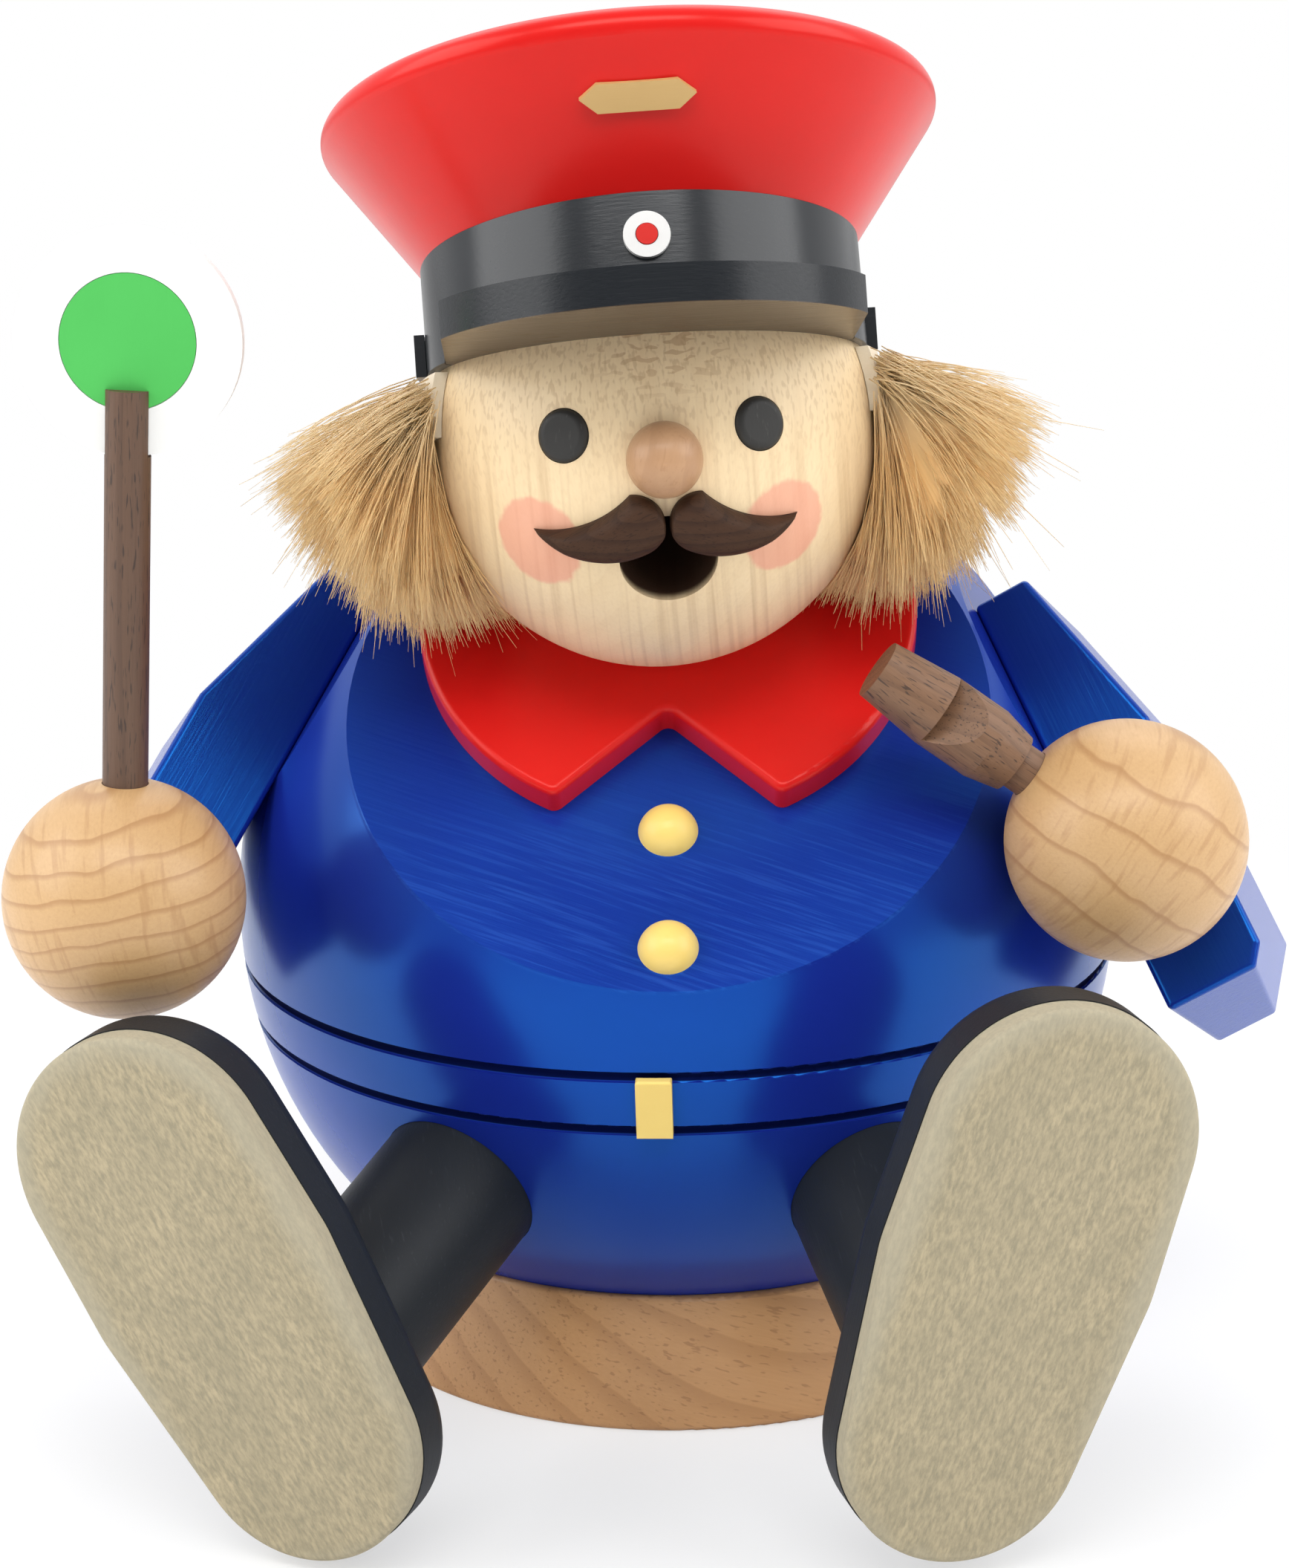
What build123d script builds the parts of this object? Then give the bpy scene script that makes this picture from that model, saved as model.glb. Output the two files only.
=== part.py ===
"""A turned-wood incense smoker: a seated station master with a ball body that opens at the waist.

Millimetres, +Z up, the figure looks along -Y, and its own left hand is on +X.
The origin is the middle of the foot disc's underside.
"""
from build123d import *

import os
from math import atan2, cos, degrees, radians, sin, sqrt
from typing import NamedTuple

# Fits
fit_gap = 0.3
glue_gap = 0.05
edge_round = 0.6
through = 60.0
quarter_turn = 90.0

# Ball body and its foot
ball_radius = 37.5
ball_height = 37.0
parting_height = 33.4
foot_height = 11.0
foot_radius = 29.5
foot_step = 0.4
foot_edge = 0.5
foot_tenon_radius = 9.0
foot_tenon_length = 4.0
groove_radius = 0.45
belt_drop = 4.6

# Fire chamber and the spigot that carries the upper half
chamber_radius = 20.0
chamber_floor = 17.0
chamber_round = 3.0
spigot_wall = 3.6
spigot_height = 4.0
draught_radius = 3.3
draught_height = 26.5
dish_radius = 12.0
dish_sheet = 0.8
dish_lip = 2.4
tack_radius = 0.8
tack_length = 5.0
tack_head_radius = 2.0
tack_head_height = 0.9

# Belt buckle
buckle_width = 2.8
buckle_height = 4.9
buckle_thickness = 0.9
buckle_turn = -1.9

# Smoke cavity and chest
cavity_radius = 22.0
chest_lean = 41.5
chest_depth = 10.25
collar_radius = 20.1
collar_rise = 8.6
collar_back = 23.0
collar_thickness = 2.75
collar_notch_rise = -1.3
collar_notch_angle = 42.8
collar_corner = 0.9
button_radius = 2.35
button_height = 1.9
button_stem_radius = 1.1
button_stem_length = 2.6
button_rises = {"upper": -11.3, "lower": -21.9}

# Head
head_radius = 17.7
head_side = -0.7
head_rise = 15.0
head_stand = 15.7
head_lean = 16.4
head_roll = -3.0
head_yaw = 3.2
neck_radius = 5.2
neck_length = 9.0
smoke_radius = 3.2
mouth_radius = 3.7
mouth_rise = -37.2
eye_radius = 2.0
eye_turn = 24.4
eye_rise = -3.6
eye_depth = 2.6
eye_proud = 0.35
nose_radius = 2.85
nose_rise = -11.2
nose_proud = 0.9
nose_peg_radius = 1.2
nose_peg_length = 4.0
lip_rise = -27.0
moustache_thickness = 1.7
moustache_gap = 0.15
moustache_bulge = (1.1, 1.9)
moustache_top = (2.7, 2.3)
moustache_dip = (6.2, -0.1)
moustache_tip = (9.9, -0.9)
moustache_belly = (5.6, -2.95)
moustache_low = (1.7, -2.3)
moustache_chin = (0.6, -1.4)

# Hair
hide_thickness = 1.0
hide_low = 0.5
hide_high = 5.5
hair_start = 68.0
hair_crest = (6.8, 4.4)
hair_flare = 12.3
hair_bulge = (7.3, -7.5)
hair_drop = 15.0
hair_root_drop = 7.5
hair_end_inset = 0.2
hair_gap = 0.4

# Cap
brim_rise = 5.96
cap_forward = 1.2
cap_side = -0.15
cap_tilt = 7.0
cap_roll = -0.6
band_inset = 0.5
band_height = 8.4
rim_overhang = 0.9
rim_height = 3.3
visor_thickness = 2.8
visor_radius = 16.8
visor_forward = 12.6
visor_seat_radius = 14.0
visor_end = 15.6
crown_inset = 0.1
crown_flare = 8.6
crown_height = 12.0
crown_round = 1.5
cockade_radius = 1.75
cockade_thickness = 0.5
cockade_centre_radius = 0.8
cockade_height = 5.0
badge_width = 8.6
badge_height = 2.2
badge_point = 1.3
badge_thickness = 0.45
badge_rise = 7.3

# Arms, boards that follow the ball's size
arm_flat_depth = 2.35
arm_thickness = 8.8
arm_top = -0.165 * ball_radius
arm_end = 0.846 * ball_radius
arm_front = 0.293 * ball_radius
arm_back = -0.165 * ball_radius
shoulder_bend = 0.248 * ball_radius
shoulder_slope = 14.5
elbow_bevel_start = 0.803 * ball_radius
elbow_bevel_turn = 10.5
elbow_bevel = 36.0
arm_edge = 0.5
arm_dowel_radius = 2.5
arm_dowel_in = 7.0
arm_dowel_out = 4.5
wrist_along = 0.53 * ball_radius

# Hands and what they hold
hand_radius = 9.4
hand_dowel_radius = 1.5
hand_dowel_in = 6.0
hand_dowel_out = 5.5
baton_radius = 1.75
baton_tilt = 3.9
baton_top = 39.7
baton_socket = 4.0
disc_rise = 43.3
disc_radius = 8.55
disc_thickness = 1.2
disc_centre_radius = 5.1
disc_inlay = 0.3
whistle_tilt = 54.0
whistle_socket = 5.0
whistle_length = 23.6
whistle_neck_radius = 1.9
whistle_neck_end = 10.7
whistle_shoulder_radius = 2.4
whistle_barrel_radius = 3.0
whistle_barrel_start = 13.4
whistle_mouth_radius = 2.4
whistle_window = 18.0
whistle_window_length = 3.4
whistle_window_depth = 2.2
whistle_window_turn = 25.0

# Legs, shoes and soles
hip_drop = 15.7
leg_radius = 6.65
leg_socket = 9.0
sole_length = 43.4
sole_toe_radius = 10.4
sole_waist_radius = 10.7
sole_waist_place = 1.5
sole_heel_radius = 9.2
sole_thickness = 2.2
shoe_thickness = 5.0
shoe_margin = 0.1
shoe_round = 2.2
ankle_drop = 8.5


class Side(NamedTuple):
    """What differs between the figure's left and right limbs."""

    name: str
    sign: int
    arm_toe_in: float
    arm_rise: float
    arm_swing: float
    arm_drop: float
    arm_setback: float
    hand_turn: float
    hand_rise: float
    hand_gap: float
    hip_turn: float
    foot_turn: float
    foot_reach: float
    foot_rise: float
    foot_heading: float
    toe_turn: float


SIDES = [
    Side("left", 1, 5.8, 29.8, 31.4, 1.15, 2.45, 51.0, 15.1, 0.3, 27.1, 25.1, 22.2, 22.75, 16.1, 18.7),
    Side("right", -1, 2.0, 33.1, 35.5, 2.4, 4.2, 53.8, 10.2, 6.2, 30.9, 33.9, 23.2, 20.8, 19.9, 31.0),
]

os.makedirs("parts", exist_ok=True)


# Reference points and planes
chest_distance = ball_radius - chest_depth
arm_distance = ball_radius - arm_flat_depth
band_radius = head_radius - band_inset
rim_radius = band_radius + rim_overhang
crown_foot_radius = band_radius - crown_inset
crown_corner_radius = crown_foot_radius + crown_flare
hip_height = ball_height - hip_drop
BALL = Vector(0, 0, ball_height)
CHEST = Plane(
    origin=BALL + Vector(0, -sin(radians(chest_lean)), cos(radians(chest_lean))) * chest_distance,
    x_dir=(1, 0, 0),
    z_dir=(0, -sin(radians(chest_lean)), cos(radians(chest_lean))),
)
COLLAR_TOP = CHEST.offset(collar_thickness)
NECK = Plane(CHEST.location * Location((head_side, head_rise, collar_thickness)))
HEAD = Plane(
    Location(
        CHEST.from_local_coords((head_side, head_rise, head_stand)),
        (-head_lean, head_roll, head_yaw),
    )
)
BRIM = Plane(HEAD.location * Location((cap_side, -cap_forward, brim_rise)))
CAP = Plane(BRIM.location * Location((0, 0, 0), (-cap_tilt, cap_roll, 0)))
BAND_TOP = CAP.offset(band_height)


def upright(plane):
    """The plane through another plane's axis, with its height along that axis."""
    return Plane(origin=plane.origin, x_dir=plane.x_dir, z_dir=-plane.y_dir)


def axis_of(plane):
    """The axis square to a plane at its origin."""
    return Axis(plane.origin, plane.z_dir)


def ball_section(height):
    """The ball's radius at a height above the table."""
    return sqrt(ball_radius**2 - (height - ball_height) ** 2)


def face_plane(turn, rise, radius):
    """A plane square to the head's radius, turned to the figure's left and raised from straight ahead."""
    a, b = radians(turn), radians(rise)
    outward = HEAD.from_local_coords((cos(b) * sin(a), -cos(b) * cos(a), sin(b))) - HEAD.origin
    across = HEAD.from_local_coords((cos(a), sin(a), 0)) - HEAD.origin
    return Plane(origin=HEAD.origin + outward * radius, x_dir=across, z_dir=outward)


def arm_flat(side):
    """The arm's flat on the ball: x runs down the ball, z points out of the body."""
    rise = radians(side.arm_rise)
    toe_in = radians(side.arm_toe_in)
    sideways = Vector(side.sign * cos(toe_in), -sin(toe_in), 0)
    outward = sideways * cos(rise) + Vector(0, 0, sin(rise))
    return Plane(
        origin=BALL + outward * arm_distance,
        x_dir=sideways * sin(rise) - Vector(0, 0, cos(rise)),
        z_dir=outward,
    )


def arm_plane(side):
    """The arm's inner face on that flat: x runs along the arm from its shoulder."""
    swing = Location((0, 0, 0), (0, 0, -side.sign * side.arm_swing))
    shift = Location((side.arm_drop, side.sign * side.arm_setback, 0))
    return Plane(arm_flat(side).location * shift * swing)


def on_arm(side, along, reach):
    """A point of the arm's sketch from its place along the arm and its reach to the front."""
    return (along, -side.sign * reach)


def on_lip(side, place):
    """A point of the moustache's sketch on the figure's left or right."""
    return (side.sign * place[0], place[1])


def hand_middle(side):
    """The hand's middle, at its gap from the ball."""
    turn, rise = radians(side.hand_turn), radians(side.hand_rise)
    outward = Vector(side.sign * cos(rise) * sin(turn), -cos(rise) * cos(turn), sin(rise))
    return BALL + outward * (ball_radius + side.hand_gap + hand_radius)


def wrist_plane(side):
    """The plane across the hand's dowel where it leaves the hand, with z from the arm to the hand."""
    root = arm_plane(side).from_local_coords((wrist_along, 0, arm_thickness / 2))
    along = (hand_middle(side) - root).normalized()
    return Plane(origin=hand_middle(side) - along * hand_radius, z_dir=along)


def foot_middle(side):
    """The middle of the sole's outer face, at its reach from the ball."""
    turn = radians(side.foot_turn)
    reach = ball_radius + side.foot_reach
    return Vector(side.sign * reach * sin(turn), -reach * cos(turn), side.foot_rise)


def sole_plane(side):
    """The sole's outer face: x runs to the toe, z points forward out of the sole."""
    heading = radians(side.foot_heading)
    toe = radians(side.toe_turn)
    outward = Vector(side.sign * cos(heading), sin(heading), 0)
    return Plane(
        origin=foot_middle(side),
        x_dir=outward * sin(toe) + Vector(0, 0, cos(toe)),
        z_dir=(side.sign * sin(heading), -cos(heading), 0),
    )


def shoe_back(side):
    """The plane of the shoe's back, where the leg is glued."""
    return sole_plane(side).offset(-(sole_thickness + shoe_thickness))


def leg_plane(side):
    """The plane across the leg where its axis leaves the ball, with z to the shoe."""
    turn = radians(side.hip_turn)
    reach = ball_section(hip_height)
    hip = Vector(side.sign * reach * sin(turn), -reach * cos(turn), hip_height)
    ankle = shoe_back(side).from_local_coords((-ankle_drop, 0, 0))
    return Plane(origin=hip, z_dir=ankle - hip)


def sole_outline(margin):
    """The egg-shaped outline of the sole, grown by a margin."""
    with Locations((sole_length / 2 - sole_toe_radius, 0)):
        Circle(sole_toe_radius + margin)
    with Locations((sole_waist_place, 0)):
        Circle(sole_waist_radius + margin)
    with Locations((sole_heel_radius - sole_length / 2, 0)):
        Circle(sole_heel_radius + margin)
    make_hull()


def keep(builder, name):
    """Labels a finished piece and writes it to its own file."""
    builder.part.label = name
    export_step(builder.part, f"parts/{name}.step")


# Foot disc
with BuildPart() as foot_disc:
    Cone(
        foot_radius,
        ball_section(foot_height) + foot_step,
        foot_height,
        align=(Align.CENTER, Align.CENTER, Align.MIN),
    )
    fillet(foot_disc.edges().filter_by(GeomType.CIRCLE), foot_edge)
    with Locations((0, 0, foot_height)):
        Hole(foot_tenon_radius + glue_gap, foot_tenon_length + fit_gap)
keep(foot_disc, "foot_disc")

# Lower half of the ball, with the chamber, the spigot, the sockets and the belt's groove
spigot_radius = chamber_radius + spigot_wall
belt_height = parting_height - belt_drop
with BuildPart() as lower_body:
    with Locations(BALL):
        Sphere(ball_radius)
    split(bisect_by=Plane.XY.offset(parting_height), keep=Keep.BOTTOM)
    split(bisect_by=Plane.XY.offset(foot_height), keep=Keep.TOP)
    with Locations((0, 0, parting_height)):
        Cylinder(spigot_radius, spigot_height, align=(Align.CENTER, Align.CENTER, Align.MIN))
    with Locations((0, 0, foot_height)):
        Cylinder(foot_tenon_radius, foot_tenon_length, align=(Align.CENTER, Align.CENTER, Align.MAX))
    with BuildSketch(Plane.XY.offset(chamber_floor)):
        Circle(chamber_radius)
    extrude(amount=parting_height + spigot_height - chamber_floor, mode=Mode.SUBTRACT)
    chamber_edge = lower_body.edges().filter_by(GeomType.CIRCLE).filter_by_position(
        Axis.Z, chamber_floor - glue_gap, chamber_floor + glue_gap
    )
    fillet(chamber_edge, chamber_round)
    for height in (belt_height, parting_height):
        with Locations((0, 0, height)):
            Torus(ball_section(height), groove_radius, mode=Mode.SUBTRACT)
    for side in SIDES:
        with Locations(leg_plane(side).offset(-leg_socket)):
            Cylinder(
                leg_radius + glue_gap,
                leg_socket + ball_radius,
                align=(Align.CENTER, Align.CENTER, Align.MIN),
                mode=Mode.SUBTRACT,
            )
    with Locations(Plane(origin=(0, 0, draught_height), z_dir=(0, 1, 0))):
        Cylinder(
            draught_radius,
            ball_radius,
            align=(Align.CENTER, Align.CENTER, Align.MIN),
            mode=Mode.SUBTRACT,
        )
    with Locations((0, 0, chamber_floor)):
        Hole(tack_radius + glue_gap, tack_length)
keep(lower_body, "lower_body")

# Belt buckle, a plate bent to the ball
belt_middle = belt_height + belt_drop / 2
belt_rise = degrees(atan2(belt_middle - ball_height, ball_section(belt_middle)))
buckle_face = Plane(Location(BALL, (0, 0, buckle_turn)) * Location((0, 0, 0), (quarter_turn - belt_rise, 0, 0)))
with BuildPart() as belt_buckle:
    with BuildSketch(buckle_face):
        Rectangle(buckle_width, buckle_height)
    extrude(amount=ball_radius + buckle_thickness)
    with Locations(BALL):
        Sphere(ball_radius + glue_gap, mode=Mode.SUBTRACT)
    fillet(belt_buckle.faces().sort_by(SortBy.DISTANCE, reverse=True)[0].edges(), buckle_thickness / 4)
keep(belt_buckle, "belt_buckle")

# Burner dish, pressed from sheet
with BuildPart() as burner_dish:
    with Locations((0, 0, chamber_floor)):
        Cylinder(dish_radius, dish_lip, align=(Align.CENTER, Align.CENTER, Align.MIN))
    fillet(burner_dish.faces().sort_by(Axis.Z)[0].edges(), dish_sheet)
    with Locations((0, 0, chamber_floor + dish_lip)):
        Hole(dish_radius - dish_sheet, dish_lip - dish_sheet)
    with Locations((0, 0, chamber_floor + dish_sheet)):
        Hole(tack_radius + glue_gap, dish_sheet)
keep(burner_dish, "burner_dish")

# Tack through the dish
with BuildPart() as dish_tack:
    with Locations((0, 0, chamber_floor + dish_sheet)):
        Cylinder(tack_head_radius, tack_head_height, align=(Align.CENTER, Align.CENTER, Align.MIN))
        fillet(dish_tack.faces().sort_by(Axis.Z)[-1].edges(), tack_head_height / 2)
        Cylinder(
            tack_radius,
            dish_sheet + tack_length - glue_gap,
            align=(Align.CENTER, Align.CENTER, Align.MAX),
        )
keep(dish_tack, "dish_tack")

# Legs, shoes and soles
for side in SIDES:
    with BuildPart() as leg:
        with Locations(leg_plane(side).offset(glue_gap - leg_socket)):
            Cylinder(leg_radius, through, align=(Align.CENTER, Align.CENTER, Align.MIN))
        split(bisect_by=shoe_back(side), keep=Keep.BOTTOM)
    keep(leg, f"leg_{side.name}")

    with BuildPart() as shoe:
        with BuildSketch(shoe_back(side)):
            sole_outline(shoe_margin)
        extrude(amount=shoe_thickness)
        fillet(shoe.faces().sort_by(Axis(shoe_back(side).origin, shoe_back(side).z_dir))[0].edges(), shoe_round)
    keep(shoe, f"shoe_{side.name}")

    with BuildPart() as sole:
        with BuildSketch(sole_plane(side)):
            sole_outline(0)
        extrude(amount=-sole_thickness)
        fillet(sole.faces().sort_by(Axis(sole_plane(side).origin, sole_plane(side).z_dir))[-1].edges(), edge_round)
    keep(sole, f"sole_{side.name}")

# Upper half of the ball, hollow, with the chest and arm flats and the neck bore
with BuildPart() as upper_body:
    with Locations(BALL):
        Sphere(ball_radius)
    split(bisect_by=Plane.XY.offset(parting_height), keep=Keep.TOP)
    split(bisect_by=CHEST, keep=Keep.BOTTOM)
    for side in SIDES:
        split(bisect_by=arm_flat(side), keep=Keep.BOTTOM)
    with Locations((0, 0, parting_height)):
        Torus(ball_section(parting_height), groove_radius, mode=Mode.SUBTRACT)
        Cylinder(
            spigot_radius + fit_gap,
            spigot_height + fit_gap,
            align=(Align.CENTER, Align.CENTER, Align.MIN),
            mode=Mode.SUBTRACT,
        )
    with Locations(BALL):
        Sphere(cavity_radius, mode=Mode.SUBTRACT)
    with Locations(NECK):
        Cylinder(neck_radius + glue_gap, 2 * (collar_thickness + neck_length), mode=Mode.SUBTRACT)
    with Locations(NECK):
        Cylinder(
            smoke_radius,
            chest_distance,
            align=(Align.CENTER, Align.CENTER, Align.MAX),
            mode=Mode.SUBTRACT,
        )
    for rise in button_rises.values():
        with Locations(CHEST.location * Location((0, rise, 0))):
            Cylinder(button_stem_radius + glue_gap, 2 * button_stem_length, mode=Mode.SUBTRACT)
    for side in SIDES:
        with Locations(arm_flat(side)):
            Cylinder(arm_dowel_radius + glue_gap, 2 * arm_dowel_in, mode=Mode.SUBTRACT)
keep(upper_body, "upper_body")

# Collar, a disc with a notch between two points
with BuildPart() as collar:
    with BuildSketch(CHEST):
        with Locations((0, collar_rise)):
            Circle(collar_radius)
        with BuildLine():
            drop = collar_radius * sin(radians(collar_notch_angle)) / cos(radians(collar_notch_angle))
            Polyline(
                (0, collar_notch_rise),
                (collar_radius, collar_notch_rise - drop),
                (-collar_radius, collar_notch_rise - drop),
                close=True,
            )
        make_face(mode=Mode.SUBTRACT)
        with Locations((0, collar_back)):
            Rectangle(2 * collar_radius, collar_radius, align=(Align.CENTER, Align.MIN), mode=Mode.SUBTRACT)
    extrude(amount=collar_thickness)
    fillet(collar.edges().filter_by(Axis((0, 0, 0), CHEST.z_dir)), collar_corner)
    fillet(collar.faces().sort_by(Axis(CHEST.origin, CHEST.z_dir))[-1].edges(), edge_round)
    with Locations(NECK):
        Cylinder(neck_radius + glue_gap, through, mode=Mode.SUBTRACT)
keep(collar, "collar")

# Buttons, domed heads on stems
dome_radius = (button_radius**2 + button_height**2) / (2 * button_height)
for name, rise in button_rises.items():
    with BuildPart() as button:
        with Locations(CHEST.location * Location((0, rise, button_height - dome_radius))):
            Sphere(dome_radius)
        split(bisect_by=CHEST, keep=Keep.TOP)
        with Locations(CHEST.location * Location((0, rise, 0))):
            Cylinder(
                button_stem_radius,
                button_stem_length - glue_gap,
                align=(Align.CENTER, Align.CENTER, Align.MAX),
            )
    keep(button, f"button_{name}")

# Head, a ball with a flat for the cap, a flat and tenon for the neck, and the smoke's way to the mouth
with BuildPart() as head:
    with Locations(HEAD):
        Sphere(head_radius)
    split(bisect_by=BRIM, keep=Keep.BOTTOM)
    split(bisect_by=COLLAR_TOP, keep=Keep.TOP)
    with Locations(NECK):
        Cylinder(neck_radius, neck_length, align=(Align.CENTER, Align.CENTER, Align.MAX))
        Cylinder(
            smoke_radius,
            2 * (head_stand - collar_thickness),
            mode=Mode.SUBTRACT,
        )
    with Locations(face_plane(0, mouth_rise, 0)):
        Cylinder(
            mouth_radius,
            through,
            align=(Align.CENTER, Align.CENTER, Align.MIN),
            mode=Mode.SUBTRACT,
        )
    for side in SIDES:
        with Locations(face_plane(side.sign * eye_turn, eye_rise, head_radius)):
            Cylinder(eye_radius + glue_gap, 2 * eye_depth, mode=Mode.SUBTRACT)
    with Locations(face_plane(0, nose_rise, head_radius)):
        Cylinder(nose_peg_radius + glue_gap, 2 * nose_peg_length, mode=Mode.SUBTRACT)
keep(head, "head")

# Eyes, turned plugs
for side in SIDES:
    eye_seat = face_plane(side.sign * eye_turn, eye_rise, head_radius + eye_proud)
    with BuildPart() as eye:
        with Locations(eye_seat):
            Cylinder(
                eye_radius,
                eye_depth + eye_proud - glue_gap,
                align=(Align.CENTER, Align.CENTER, Align.MAX),
            )
        fillet(eye.faces().sort_by(axis_of(eye_seat))[-1].edges(), edge_round)
    keep(eye, f"eye_{side.name}")

# Nose, a small ball on a peg
with BuildPart() as nose:
    with Locations(face_plane(0, nose_rise, head_radius + nose_proud)):
        Sphere(nose_radius)
    with Locations(HEAD):
        Sphere(head_radius + glue_gap, mode=Mode.SUBTRACT)
    with Locations(face_plane(0, nose_rise, head_radius + glue_gap - nose_peg_length)):
        Cylinder(
            nose_peg_radius,
            nose_peg_length + nose_proud,
            align=(Align.CENTER, Align.CENTER, Align.MIN),
        )
keep(nose, "nose")

# Moustache halves, cut from sheet and hollowed to the head
for side in SIDES:
    lip = face_plane(0, lip_rise, 0)
    with BuildPart() as moustache:
        with BuildSketch(lip):
            with BuildLine():
                inner = (side.sign * moustache_gap, 0)
                top = on_lip(side, moustache_top)
                tip = on_lip(side, moustache_tip)
                low = on_lip(side, moustache_low)
                ThreePointArc(inner, on_lip(side, moustache_bulge), top)
                ThreePointArc(top, on_lip(side, moustache_dip), tip)
                ThreePointArc(tip, on_lip(side, moustache_belly), low)
                ThreePointArc(low, on_lip(side, moustache_chin), inner)
            make_face()
        extrude(amount=2 * head_radius)
        with Locations(HEAD):
            Sphere(head_radius + moustache_thickness, mode=Mode.INTERSECT)
            Sphere(head_radius + glue_gap, mode=Mode.SUBTRACT)
    keep(moustache, f"moustache_{side.name}")

# Hide strip round the sides and back of the head
HAIR = Plane(HEAD.location * Location((0, 0, 0), (0, 0, hair_start - quarter_turn)))
hair_sweep = 4 * quarter_turn - 2 * hair_start
with BuildPart() as hide_strip:
    with BuildSketch(upright(HAIR)):
        Circle(head_radius + glue_gap + hide_thickness)
        Circle(head_radius + glue_gap, mode=Mode.SUBTRACT)
        with Locations((0, (hide_low + hide_high) / 2)):
            Rectangle(
                2 * head_radius,
                hide_high - hide_low,
                align=(Align.MIN, Align.CENTER),
                mode=Mode.INTERSECT,
            )
    revolve(axis=axis_of(HEAD), revolution_arc=hair_sweep)
keep(hide_strip, "hide_strip")

# Fur fringe, a flared skirt that starts at the strip and clears the head, the body and the collar
with BuildPart() as hair_fringe:
    hide_face = head_radius + hide_thickness + hair_gap
    crest = (head_radius + hair_crest[0], hair_crest[1])
    reach = head_radius + hair_flare
    bulge = (head_radius + hair_bulge[0], hair_bulge[1])
    end_radius = head_radius - hair_end_inset
    with BuildSketch(upright(HAIR)):
        with BuildLine():
            Line((hide_face, hide_low), (hide_face, hide_high))
            ThreePointArc((hide_face, hide_high), crest, (reach, 0))
            Line((reach, 0), bulge)
            Line(bulge, (end_radius, -hair_drop))
            Line((end_radius, -hair_drop), (end_radius, -hair_root_drop))
            Line((end_radius, -hair_root_drop), (hide_face, hide_low))
        make_face()
    revolve(axis=axis_of(HEAD), revolution_arc=hair_sweep)
    with Locations(BALL):
        Sphere(ball_radius + hair_gap, mode=Mode.SUBTRACT)
    with BuildSketch(CHEST):
        with Locations((0, collar_rise)):
            Circle(collar_radius + hair_gap)
        with Locations((0, collar_back + hair_gap)):
            Rectangle(2 * through, through, align=(Align.CENTER, Align.MIN), mode=Mode.SUBTRACT)
    extrude(amount=collar_thickness + hair_gap, mode=Mode.SUBTRACT)
keep(hair_fringe, "hair_fringe")

# Cap: visor, rim, band and crown
with BuildPart() as cap_visor:
    with BuildSketch(BRIM):
        with Locations((0, -visor_forward)):
            Circle(visor_radius)
        Rectangle(2 * visor_end, 2 * through, mode=Mode.INTERSECT)
        with Locations((0, cap_forward)):
            Circle(visor_seat_radius, mode=Mode.SUBTRACT)
        Rectangle(2 * visor_end, through, align=(Align.CENTER, Align.MIN), mode=Mode.SUBTRACT)
    extrude(amount=visor_thickness)
    top_edges = cap_visor.faces().sort_by(axis_of(BRIM))[-1].edges()
    fillet(top_edges.filter_by(GeomType.CIRCLE).sort_by(SortBy.RADIUS)[-1], edge_round)
keep(cap_visor, "cap_visor")

with BuildPart() as cap_band:
    with Locations(BAND_TOP):
        Cylinder(band_radius, through, align=(Align.CENTER, Align.CENTER, Align.MAX))
    split(bisect_by=BRIM, keep=Keep.TOP)
    with BuildSketch(BRIM):
        with Locations((0, -visor_forward)):
            Circle(visor_radius + glue_gap)
        with Locations((0, cap_forward)):
            Circle(visor_seat_radius - glue_gap, mode=Mode.SUBTRACT)
        Rectangle(2 * (visor_end + glue_gap), 2 * through, mode=Mode.INTERSECT)
        Rectangle(2 * through, through, align=(Align.CENTER, Align.MIN), mode=Mode.SUBTRACT)
    extrude(amount=visor_thickness + glue_gap, mode=Mode.SUBTRACT)
keep(cap_band, "cap_band")

with BuildPart() as cap_rim:
    with BuildSketch(BRIM):
        Circle(rim_radius)
        with Locations((0, -visor_forward)):
            Circle(visor_radius + glue_gap, mode=Mode.SUBTRACT)
        Rectangle(2 * through, visor_forward, align=(Align.CENTER, Align.MAX), mode=Mode.SUBTRACT)
    extrude(amount=rim_height)
    with Locations(BAND_TOP):
        Cylinder(
            band_radius + glue_gap,
            through,
            align=(Align.CENTER, Align.CENTER, Align.MAX),
            mode=Mode.SUBTRACT,
        )
keep(cap_rim, "cap_rim")

with BuildPart() as cap_crown:
    with BuildSketch(upright(BAND_TOP)) as crown_profile:
        with BuildLine():
            Polyline(
                (0, 0),
                (crown_foot_radius, 0),
                (crown_corner_radius, crown_height),
                (0, crown_height),
                close=True,
            )
        make_face()
        fillet(crown_profile.vertices().sort_by(Axis.X)[-1:], crown_round)
    revolve(axis=axis_of(BAND_TOP))
keep(cap_crown, "cap_crown")

# Cockade on the band
cockade_seat = Plane(CAP.location * Location((0, -band_radius, cockade_height), (quarter_turn, 0, 0)))
with BuildPart() as cockade_disc:
    with BuildSketch(cockade_seat):
        Circle(cockade_radius)
        Circle(cockade_centre_radius + glue_gap, mode=Mode.SUBTRACT)
    extrude(amount=cockade_thickness, both=True)
    with Locations(CAP):
        Cylinder(band_radius + glue_gap, through, mode=Mode.SUBTRACT)
keep(cockade_disc, "cockade_disc")

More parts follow.
